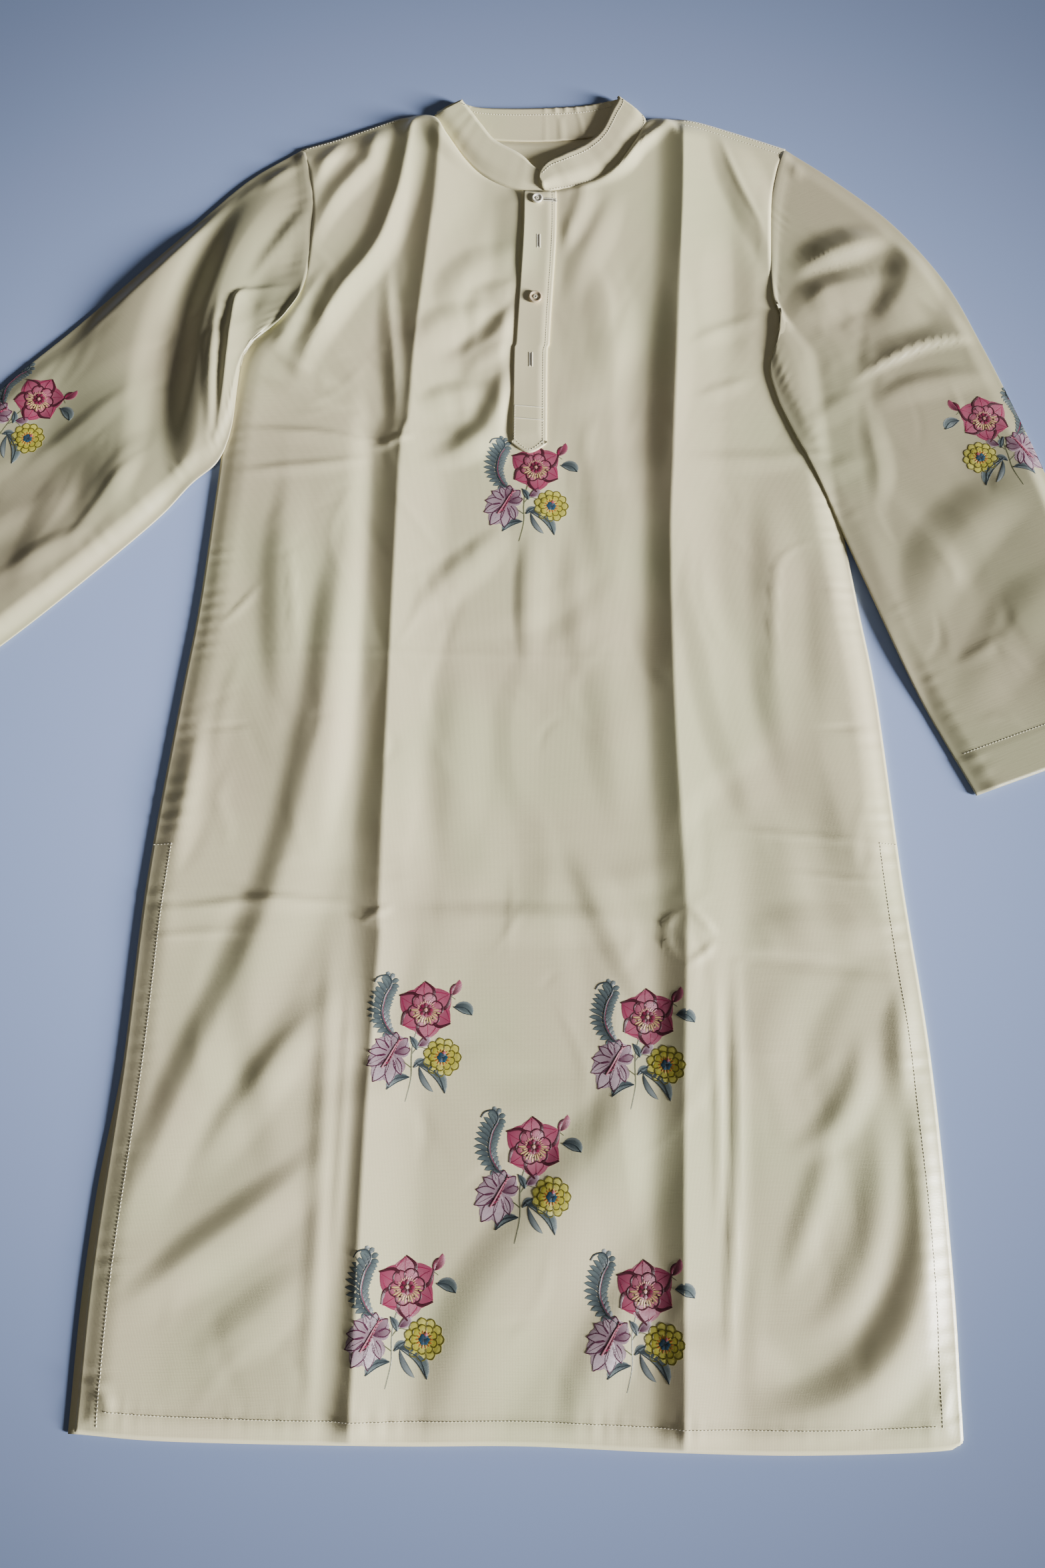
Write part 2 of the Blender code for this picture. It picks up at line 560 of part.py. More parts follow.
def make_sleeve(name, edges, folds, side_edge, outward, climb_y):
    """Flatten a sewn sleeve: an upper and a lower layer joined round both long edges.

    Its first ring follows the armhole. The upper layer laps onto the front there, and the lower one
    stops short of the back. Near the underarm both climb over the side of the body.
    """
    edge_line = through(edges, 200)
    middle = 0.5 * (edge_line[:, 0:2] + edge_line[:, 2:4])
    travel = np.concatenate(([0.0], np.cumsum(np.linalg.norm(np.diff(middle, axis=0), axis=1))))
    length = travel[-1]
    stations = spaced([-SEAM_LAP, SEAM_LAP, 0.014, length - CUFF_DEPTH, length], SLEEVE_STEP)
    armhole_y = np.linspace(edges[0][1], edges[0][3], 120)
    armhole = np.column_stack((side_edge(armhole_y), armhole_y))
    bow_travel = np.concatenate(([0.0], np.cumsum(np.linalg.norm(np.diff(armhole, axis=0), axis=1))))
    radius = 0.5 * SLEEVE_EDGE
    rings = []
    for index, station in enumerate(stations):
        at = np.clip(station, 0.0, length)
        outer, under = np.split(np.array([np.interp(at, travel, c) for c in edge_line.T]), 2)
        width = np.linalg.norm(under - outer)
        across = (under - outer) / width
        along = np.array((-across[1], across[0])) * outward
        bend = max(0.0, 1.0 - at / (ARMHOLE_BLEND * length)) ** 2

        def spot(share, shift):
            arc = np.column_stack([np.interp(share * bow_travel[-1], bow_travel, c) for c in armhole.T])
            chord = armhole[0] + share[:, None] * (armhole[-1] - armhole[0])
            straight = outer + share[:, None] * (under - outer)
            return straight + bend * (arc - chord) + np.reshape(shift, (-1, 1)) * along

        def climb(points):
            x, y = points[:, 0], points[:, 1]
            inside = (side_edge(y) - x) * outward
            return smoothstep((inside + CLIMB_START) / CLIMB_RUN) * smoothstep((climb_y - y) / 0.035)

        def ground(points):
            x, y = points[:, 0], points[:, 1]
            on_body = 2 * FRONT_LEVEL + front_height(x, y) + SLEEVE_CLEAR
            return climb(points) * on_body

        inset = radius / width
        upper_share = np.linspace(inset, 1.0 - inset, SLEEVE_COLUMNS + 1)
        lower_share = np.array((1.0 - inset, *SLEEVE_UNDER_SHARES, inset))
        lapped = min(station, 0.0)
        clear = SEAM_CLEAR if index == 0 else 0.0
        upper = spot(upper_share, lapped)
        lower = spot(lower_share, clear)
        if index == 0:
            climbed = climb(lower)
            bulge = RIM_BULGE * climbed * (1.0 - climbed)
            tucked = climbed * smoothstep((lower_share - 0.80) / 0.15)
            lower = spot(lower_share, clear * (1.0 - tucked) + lapped * tucked + bulge)
        turns = np.linspace(0.0, math.pi, 5)[1:-1]
        low_upper = ground(upper)
        low_lower = ground(lower)
        lap = SEAM_RISE if index < 2 else 0.0
        rim = smoothstep(np.minimum(upper_share, 1.0 - upper_share) * width / SLEEVE_FADE)
        cuff = HEM_RISE if station > length - CUFF_DEPTH - MM else 0.0
        plump = AIR + folded(upper[:, 0], upper[:, 1], folds)
        settled = smoothstep((station + SEAM_LAP) / SLEEVE_FADE)
        upper_z = low_upper + SLEEVE_EDGE + lap + cuff + rim * settled * np.maximum(plump, 0.0)
        ring = [np.append(p, z) for p, z in zip(upper, upper_z)]
        for turn in turns:
            out = spot(np.array([1.0 - inset * (1.0 - math.sin(turn))]), lapped)[0]
            mix = 0.5 * (1.0 + math.cos(turn))
            ring.append(np.append(out, mix * upper_z[-1] + (1.0 - mix) * low_lower[0]))
        ring += [np.append(p, z) for p, z in zip(lower, low_lower)]
        for turn in turns:
            out = spot(np.array([inset * (1.0 - math.sin(turn))]), clear)[0]
            mix = 0.5 * (1.0 - math.cos(turn))
            ring.append(np.append(out, mix * upper_z[0] + (1.0 - mix) * low_lower[-1]))
        rings.append(ring)
    grid = np.array(rings)
    if outward < 0:
        grid = grid[:, ::-1]
    return sheet(name, grid, IVORY, -1.0, closed=True)


def make_button(name, diameter, centre):
    """Turn a flat four-hole button with a raised rim, then drill its holes."""
    radius = 0.5 * diameter
    thick = BUTTON_THICK
    profile = ((0.0, 0.70 * thick), (0.62 * radius, 0.70 * thick), (0.76 * radius, thick),
               (0.90 * radius, thick), (radius, 0.74 * thick), (radius, 0.34 * thick),
               (0.82 * radius, 0.0), (0.0, 0.0))
    turned = bpy.data.meshes.new(name)
    turned.from_pydata([(r, 0.0, z) for r, z in profile],
                       [(k, k + 1) for k in range(len(profile) - 1)], [])
    button = place(name, turned, BEIGE, 0.3)
    button.location = centre
    screw = button.modifiers.new("Turn", "SCREW")
    screw.steps = 20
    screw.render_steps = 20
    screw.use_merge_vertices = True
    screw.merge_threshold = 0.00001
    for number in range(4):
        angle = math.radians(45 + 90 * number)
        away = Vector((math.cos(angle), math.sin(angle), 0.0)) * BUTTON_HOLE_RING * radius
        bpy.ops.mesh.primitive_cylinder_add(vertices=8, radius=0.5 * BUTTON_HOLE, depth=4 * thick,
                                            location=Vector(centre) + away)
        drill = bpy.context.object
        drill.name = f"{name}_drill_{number + 1}"
        drill.hide_render = True
        drill.display_type = "WIRE"
        for holder in list(drill.users_collection):
            holder.objects.unlink(drill)
        cutters.objects.link(drill)
        hole = button.modifiers.new("Thread hole", "BOOLEAN")
        hole.operation = "DIFFERENCE"
        hole.solver = "EXACT"
        hole.object = drill
    return button


for old in list(bpy.data.objects):
    bpy.data.objects.remove(old, do_unlink=True)
garment = bpy.data.collections.new("Kurta tunic")
cutters = bpy.data.collections.new("Cutters")
bpy.context.scene.collection.children.link(garment)
bpy.context.scene.collection.children.link(cutters)

make_back_panel()
front_grid, front_levels, front_slot = front_points()
make_front_panel(front_grid, front_levels, front_slot)
placket_grid = make_placket(front_grid, front_levels)
make_collar()
make_sleeve("sleeve_right", RIGHT_SLEEVE_EDGES, RIGHT_SLEEVE_FOLDS, left_side, -1.0, 0.475)
make_sleeve("sleeve_left", LEFT_SLEEVE_EDGES, LEFT_SLEEVE_FOLDS, right_side, 1.0, 0.545)

for button_name, button_size, button_y, button_inset in BUTTONS:
    button_x = float(placket_edge(button_y)) + button_inset
    bed = placket_height(placket_grid, button_x, button_y, 0.5 * button_size)
    button_place = Vector((button_x, button_y, bed + CLOTH + SEAM_GAP)) + PLACE_SHIFT
    make_button(button_name, button_size, button_place)
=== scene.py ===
"""Kurta tunic of ivory silk-cotton, laid flat on its back, with hand embroidered flower sprays."""
import math

import bmesh
import bpy
import numpy as np
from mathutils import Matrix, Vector
from mathutils.bvhtree import BVHTree


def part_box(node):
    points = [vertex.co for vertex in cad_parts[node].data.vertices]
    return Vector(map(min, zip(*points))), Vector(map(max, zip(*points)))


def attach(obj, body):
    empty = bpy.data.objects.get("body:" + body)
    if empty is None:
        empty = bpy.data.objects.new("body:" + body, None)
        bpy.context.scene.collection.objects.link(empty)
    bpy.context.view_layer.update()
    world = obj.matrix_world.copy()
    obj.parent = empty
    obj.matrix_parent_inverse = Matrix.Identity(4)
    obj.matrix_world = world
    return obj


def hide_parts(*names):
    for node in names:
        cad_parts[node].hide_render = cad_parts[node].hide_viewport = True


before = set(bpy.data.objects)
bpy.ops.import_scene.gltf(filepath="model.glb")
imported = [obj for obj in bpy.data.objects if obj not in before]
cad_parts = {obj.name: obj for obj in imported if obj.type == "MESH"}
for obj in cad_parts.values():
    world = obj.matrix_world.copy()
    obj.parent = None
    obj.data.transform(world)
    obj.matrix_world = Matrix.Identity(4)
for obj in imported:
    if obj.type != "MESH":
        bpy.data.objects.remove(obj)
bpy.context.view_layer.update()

# The back panel: one width of ivory silk-cotton, lying flat on the floor under the whole garment.
# It is cut with a high neck, and its hem and vent edges are turned in twice and stitched.
# Tables measure x from the garment's centre line and y from its waist, as the CAD source does.
PLACE_SHIFT = np.array((0.0535, -0.0823, 0.0))
MM = 0.001
CLOTH = 1.5 * MM
SEAM_GAP = 0.3 * MM
FRONT_LEVEL = CLOTH + SEAM_GAP
HEM_Y = -0.483
HEM_DEPTH = 0.018
HEM_WANDER_DEPTH = 0.12
VENT_TOP_Y = -0.050
CHEST_Y = 0.400
SHOULDER_Y = 0.599
BACK_PEEP = 5 * MM
BACK_CLOTH = 1.1 * MM
BACK_STEP = 0.008
BACK_COLUMNS = 80
IVORY = (0.740, 0.680, 0.425)
IVORY_WARM = (0.750, 0.665, 0.430)
IVORY_COOL = (0.715, 0.690, 0.415)
# threads across and along: direction, pitch
WEAVE = (("X", 0.62 * MM), ("Y", 0.56 * MM))
SLUB_STRETCH = (60.0, 900.0, 60.0)
SLUB_SHARE = 1.6

# y, left x, right x
BODY_SIDES = (
    (-0.490, -0.320, 0.314), (-0.370, -0.317, 0.316), (-0.220, -0.305, 0.312),
    (-0.080, -0.297, 0.300), (0.070, -0.280, 0.290), (0.150, -0.270, 0.280),
    (0.250, -0.262, 0.268), (0.330, -0.256, 0.263), (0.388, -0.247, 0.257),
    (0.425, -0.212, 0.230), (0.460, -0.196, 0.2235), (0.530, -0.191, 0.2255),
    (0.572, -0.196, 0.233), (SHOULDER_Y, -0.203, 0.242),
)
# x, y
FRONT_TOP = (
    (-0.203, 0.599), (-0.170, 0.610), (-0.140, 0.622), (-0.110, 0.633), (-0.083, 0.634),
    (-0.070, 0.615), (-0.052, 0.587), (-0.035, 0.570), (-0.010, 0.557), (0.018, 0.5535),
    (0.050, 0.560), (0.070, 0.568), (0.086, 0.581), (0.104, 0.609), (0.116, 0.630),
    (0.138, 0.6315), (0.160, 0.629), (0.200, 0.615), (0.242, 0.599),
)
# x, y
BACK_NECK = ((-0.083, 0.634), (-0.066, 0.624), (-0.035, 0.613), (0.010, 0.610), (0.055, 0.613),
             (0.092, 0.621), (0.116, 0.630))
# x, how far the hem strays from HEM_Y
HEM_WANDER = ((-0.320, 0.008), (-0.250, 0.003), (-0.100, 0.0), (0.000, 0.0), (0.100, -0.004),
              (0.200, -0.006), (0.300, -0.003), (0.316, 0.004))


def smoothstep(value):
    value = np.clip(value, 0.0, 1.0)
    return value * value * (3.0 - 2.0 * value)


def through(points, count):
    """Sample a smooth curve through the points, evenly spaced along its length."""
    keys = np.asarray(points, dtype=float)
    padded = np.vstack((2 * keys[0] - keys[1], keys, 2 * keys[-1] - keys[-2]))
    pieces = []
    for a, b, c, d in zip(padded[:-3], padded[1:-2], padded[2:-1], padded[3:]):
        t = np.linspace(0.0, 1.0, 24, endpoint=False)[:, None]
        pieces.append(0.5 * (2 * b + (c - a) * t + (2 * a - 5 * b + 4 * c - d) * t * t
                             + (3 * b - a - 3 * c + d) * t * t * t))
    dense = np.vstack(pieces + [keys[-1:]])
    steps = np.linalg.norm(np.diff(dense[:, :2], axis=0), axis=1)
    length = np.concatenate(([0.0], np.cumsum(steps)))
    wanted = np.linspace(0.0, length[-1], count)
    return np.column_stack([np.interp(wanted, length, column) for column in dense.T])


def lookup(table, column):
    """Turn a table into a smooth function of its first column."""
    curve = through([(row[0], row[column]) for row in table], 400)
    return lambda value: np.interp(value, curve[:, 0], curve[:, 1])


left_side = lookup(BODY_SIDES, 1)
right_side = lookup(BODY_SIDES, 2)
front_top = lookup(FRONT_TOP, 1)
back_neck = lookup(BACK_NECK, 1)
hem_wander = lookup(HEM_WANDER, 1)


def hem_edge(x):
    return HEM_Y + hem_wander(x)


def spaced(stops, step):
    """Fill the stretches between fixed stops with even steps, an even number in each."""
    values = [stops[0]]
    for start, end in zip(stops[:-1], stops[1:]):
        count = 2 * max(1, math.ceil((end - start) / (2 * step) - 1e-6))
        values.extend(start + (end - start) * (k + 1) / count for k in range(count))
    return np.array(values)


def put(name, data):
    """Add an object to the scene."""
    thing = bpy.data.objects.new(name, data)
    bpy.context.scene.collection.objects.link(thing)
    return thing


def tune(node, values):
    """Set a node's inputs by their names, with an underscore for each space."""
    for name, value in values.items():
        node.inputs[name.replace("_", " ")].default_value = value


def added(tree, kind, **values):
    """Add a node with these values at its inputs."""
    node = tree.nodes.new(kind)
    tune(node, values)
    return node


def wire(source, output, target, entry):
    """Link one node's output to another node's input."""
    source.id_data.links.new(source.outputs[output], target.inputs[entry])


def ramp(tree, *stops):
    """Add a colour ramp whose stops are a position and a colour each."""
    node = added(tree, "ShaderNodeValToRGB")
    elements = node.color_ramp.elements
    while len(elements) < len(stops):
        elements.new(1.0)
    for element, (position, colour) in zip(elements, stops):
        element.position = position
        element.color = (*colour, 1.0)
    return node


def new_material(name, **values):
    """Start a material with these values at its shader's inputs."""
    material = bpy.data.materials.new(name)
    material.use_nodes = True
    shader = material.node_tree.nodes["Principled BSDF"]
    tune(shader, values)
    return material, material.node_tree, shader


def weave_group():
    """Plain weave with uneven weft: fine ribs and slubs for the bump, and a drift of tint."""
    group = bpy.data.node_groups.new("Silk-cotton weave", "ShaderNodeTree")
    for socket, way, kind in (("Turn", "INPUT", "Vector"), ("Height", "OUTPUT", "Float"),
                              ("Drift", "OUTPUT", "Float")):
        group.interface.new_socket(socket, in_out=way, socket_type="NodeSocket" + kind)
    entry = added(group, "NodeGroupInput")
    leave = added(group, "NodeGroupOutput")
    place = added(group, "ShaderNodeTexCoord")
    turn = added(group, "ShaderNodeMapping")
    wire(place, "Object", turn, "Vector")
    wire(entry, "Turn", turn, "Rotation")
    weave = added(group, "ShaderNodeMath")
    weave.operation = "MULTIPLY"
    for k, (direction, pitch) in enumerate(WEAVE):
        rib = added(group, "ShaderNodeTexWave", Scale=math.pi / (10.0 * pitch), Distortion=1.2,
                    Detail=1.0, Detail_Scale=1.5)
        rib.bands_direction = direction
        wire(turn, "Vector", rib, "Vector")
        wire(rib, "Fac", weave, k)
    stretch = added(group, "ShaderNodeMapping", Scale=SLUB_STRETCH)
    wire(turn, "Vector", stretch, "Vector")
    slub = added(group, "ShaderNodeTexNoise", Scale=1.0, Detail=3.0)
    wire(stretch, "Vector", slub, "Vector")
    both = added(group, "ShaderNodeMath")
    both.operation = "MULTIPLY_ADD"
    both.inputs[1].default_value = SLUB_SHARE
    wire(slub, "Fac", both, 0)
    wire(weave, 0, both, 2)
    wire(both, 0, leave, "Height")
    drift = added(group, "ShaderNodeTexNoise", Scale=7.0, Detail=2.0)
    wire(place, "Object", drift, "Vector")
    wire(drift, "Fac", leave, "Drift")
    return group


silk_weave = weave_group()


def cloth_finish(name, turn=0.0, painted_shade_tone=1.0):
    """Satin-faced ivory: soft gloss, fine weave and slow drifts towards pink and green, all scaled by
    painted_shade_tone, which paints a piece darker to stand in for shade.
    """
    material, tree, shader = new_material(name, Roughness=0.38, Specular_IOR_Level=0.75,
                                          Sheen_Weight=0.12, Sheen_Roughness=0.45)
    weave = added(tree, "ShaderNodeGroup")
    weave.node_tree = silk_weave
    weave.inputs["Turn"].default_value = (0.0, 0.0, turn)
    tint = ramp(tree, *((position, [painted_shade_tone * part for part in colour]) for position, colour in (
        (0.35, IVORY_WARM), (0.5, IVORY), (0.65, IVORY_COOL))))
    bump = added(tree, "ShaderNodeBump", Strength=0.35, Distance=0.12 * MM)
    wire(weave, "Drift", tint, "Fac")
    wire(tint, "Color", shader, "Base Color")
    wire(weave, "Height", bump, "Height")
    wire(bump, "Normal", shader, "Normal")
    return material


body_cloth = cloth_finish("ivory_cloth_body")


def thin_cloth(name, grid, wall, material, left_out=None, closed=False):
    """Skin a grid as thin cloth, fine on its face and half as fine on its underside.

    Rows and columns come in even numbers of steps. left_out marks coarse cells that stay open.
    """
    rows, columns = grid.shape[:2]
    down, over = (rows - 1) // 2, (columns if closed else columns - 1) // 2
    kept = np.ones((down, over), dtype=bool) if left_out is None else ~left_out
    index = np.arange(rows * columns).reshape(rows, columns)
    under = rows * columns + np.arange(((rows + 1) // 2) * ((columns + 1) // 2)).reshape(
        (rows + 1) // 2, (columns + 1) // 2)
    if closed:
        index = np.hstack((index, index[:, :1]))
        under = np.hstack((under, under[:, :1]))
    faces = []
    for row_shift in (0, 1):
        for column_shift in (0, 1):
            a = index[row_shift:-1:2, column_shift:-1:2][:down, :over]
            b = index[row_shift:-1:2, column_shift + 1::2][:down, :over]
            c = index[row_shift + 1::2, column_shift + 1::2][:down, :over]
            d = index[row_shift + 1::2, column_shift:-1:2][:down, :over]
            faces += np.stack((a, b, c, d), axis=-1)[kept].tolist()
    corners = (under[:-1, :-1], under[1:, :-1], under[1:, 1:], under[:-1, 1:])
    faces += np.stack(corners, axis=-1)[kept].tolist()
    for row, column in np.argwhere(kept):
        r, c = 2 * row, 2 * column
        sides = (
            (row - 1, column, (index[r, c + 2], index[r, c + 1], index[r, c]),
             (under[row, column], under[row, column + 1])),
            (row + 1, column, (index[r + 2, c], index[r + 2, c + 1], index[r + 2, c + 2]),
             (under[row + 1, column + 1], under[row + 1, column])),
            (row, column - 1, (index[r, c], index[r + 1, c], index[r + 2, c]),
             (under[row + 1, column], under[row, column])),
            (row, column + 1, (index[r + 2, c + 2], index[r + 1, c + 2], index[r, c + 2]),
             (under[row, column + 1], under[row + 1, column + 1])),
        )
        for near_row, near_column, upper, lower in sides:
            if closed:
                near_column %= over
            inside = 0 <= near_row < down and 0 <= near_column < over
            if not (inside and kept[near_row, near_column]):
                faces.append([int(v) for v in upper + lower])
    points = grid.reshape(-1, 3)
    across = np.roll(grid, -1, axis=1) - np.roll(grid, 1, axis=1) if closed else np.gradient(grid, axis=1)
    normal = np.cross(across, np.gradient(grid, axis=0))
    normal /= np.maximum(np.linalg.norm(normal, axis=-1, keepdims=True), 1e-12)
    lower = (grid - wall * normal)[::2, ::2].reshape(-1, 3)
    mesh = bpy.data.meshes.new(name)
    mesh.from_pydata((np.vstack((points, lower)) + PLACE_SHIFT).tolist(), [], faces)
    tidy = bmesh.new()
    tidy.from_mesh(mesh)
    loose = [vertex for vertex in tidy.verts if not vertex.link_faces]
    bmesh.ops.delete(tidy, geom=loose, context="VERTS")
    tidy.to_mesh(mesh)
    tidy.free()
    mesh.shade_smooth()
    mesh.materials.append(material)
    return put(name, mesh)


def panel_y(levels, x, top):
    """Lay a panel's rows from the hem, which wanders, up to its top edge."""
    level = np.repeat(levels[:, None], x.shape[1], axis=1)
    above = np.clip((level - CHEST_Y) / (SHOULDER_Y - CHEST_Y), 0.0, 1.0)
    below = smoothstep((HEM_Y + HEM_WANDER_DEPTH - level) / HEM_WANDER_DEPTH)
    return np.where(level > CHEST_Y, CHEST_Y + above * (top(x) - CHEST_Y), level + below * hem_wander(x))


def back_top(x):
    return np.where((x > BACK_NECK[0][0]) & (x < BACK_NECK[-1][0]), back_neck(x), front_top(x))


back_levels = spaced([HEM_Y - 0.002, CHEST_Y, SHOULDER_Y], BACK_STEP)
back_left = left_side(back_levels) - BACK_PEEP * smoothstep((4 * VENT_TOP_Y - back_levels) / 0.12)
back_width = right_side(back_levels) - back_left
back_x = back_left[:, None] + back_width[:, None] * np.linspace(0.0, 1.0, BACK_COLUMNS + 1)
back_y = panel_y(back_levels, back_x, back_top)
back_grid = np.dstack((back_x, back_y, np.full_like(back_x, BACK_CLOTH)))
back_panel = thin_cloth("back_cloth", back_grid, BACK_CLOTH, body_cloth)
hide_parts("back_panel")
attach(back_panel, "root")

# The front panel: the same silk-cotton as the back, cut with a low round neck and a slot for the
# placket. It lies on the back with air under it, so its two pressed creases stand up as ridges,
# drag lines run from the shoulders, and its skirt, vents and side seams pucker along their stitches.
AIR = 2.4 * MM
EDGE_DROP = 1.1 * MM
DROP_RUN = 0.014
ARMHOLE_FOOT_Y = 0.405
ARMHOLE_FADE = 0.025
ARMHOLE_GAIN = 3.2
ARMHOLE_SET = 0.010
COLLARED_X = (-0.110, 0.145)
COLLARED_FADE = 0.02
EDGE_FADE = 0.026
CALM_FADE = 0.011
LEAST_LIFT = 0.2 * MM
HEM_RISE = 0.35 * MM
FRONT_CLOTH = 0.7 * MM
FOLD_TAPER = 0.110
ROW_STEP = 0.0029
PLACKET_WIDTH = 0.030
SLOT_WIDTH = 0.021
SLOT_INSET = 0.005
SLOT_BOTTOM_Y = 0.335
SLOT_SWELL = 1.6 * MM
PLACKET_BOTTOM_Y = 0.290
PUCKER_TOP_Y = 0.36
PUCKER_FADE = 0.05
# pitch, depth, seed, middle and reach from the edge
LEFT_PUCKERS = (0.0125, 0.55 * MM, 11, 0.010, 0.011)
RIGHT_PUCKERS = (0.0135, 0.6 * MM, 12, 0.010, 0.011)
HEM_PUCKERS = (0.0115, 0.40 * MM, 13, 0.014, 0.011)
# Column steps between the guides: side, left crease, slot, slot, neck end, right crease, side
COLUMN_STEPS = (54, 34, 6, 22, 16, 50)

# y, left x, right x
PRESS_CREASES = (
    (-0.483, -0.123, 0.115), (-0.300, -0.119, 0.120), (-0.120, -0.112, 0.129),
    (0.050, -0.110, 0.124), (0.200, -0.107, 0.124), (0.290, -0.105, 0.129),
    (0.340, -0.098, 0.132), (0.470, -0.090, 0.140), (0.570, -0.083, 0.146),
    (0.640, -0.083, 0.148),
)
# y, x
PLACKET_EDGE = ((-0.483, -0.012), (0.300, -0.009), (0.400, -0.006), (0.500, 0.000), (0.560, 0.001))
NECK_COLUMN = ((-0.483, 0.075), (0.400, 0.088), (0.540, 0.104), (SHOULDER_Y, 0.116))

left_press = lookup(PRESS_CREASES, 1)
right_press = lookup(PRESS_CREASES, 2)
placket_edge = lookup(PLACKET_EDGE, 1)
neck_column = lookup(NECK_COLUMN, 1)


def in_metres(folds):
    """Gather each fold's path from the end of its row, and bring it from millimetres to metres."""
    return tuple((*fold[:4], tuple((x / 1000.0, y / 1000.0) for x, y in fold[4:]))
                 for fold in folds.values())


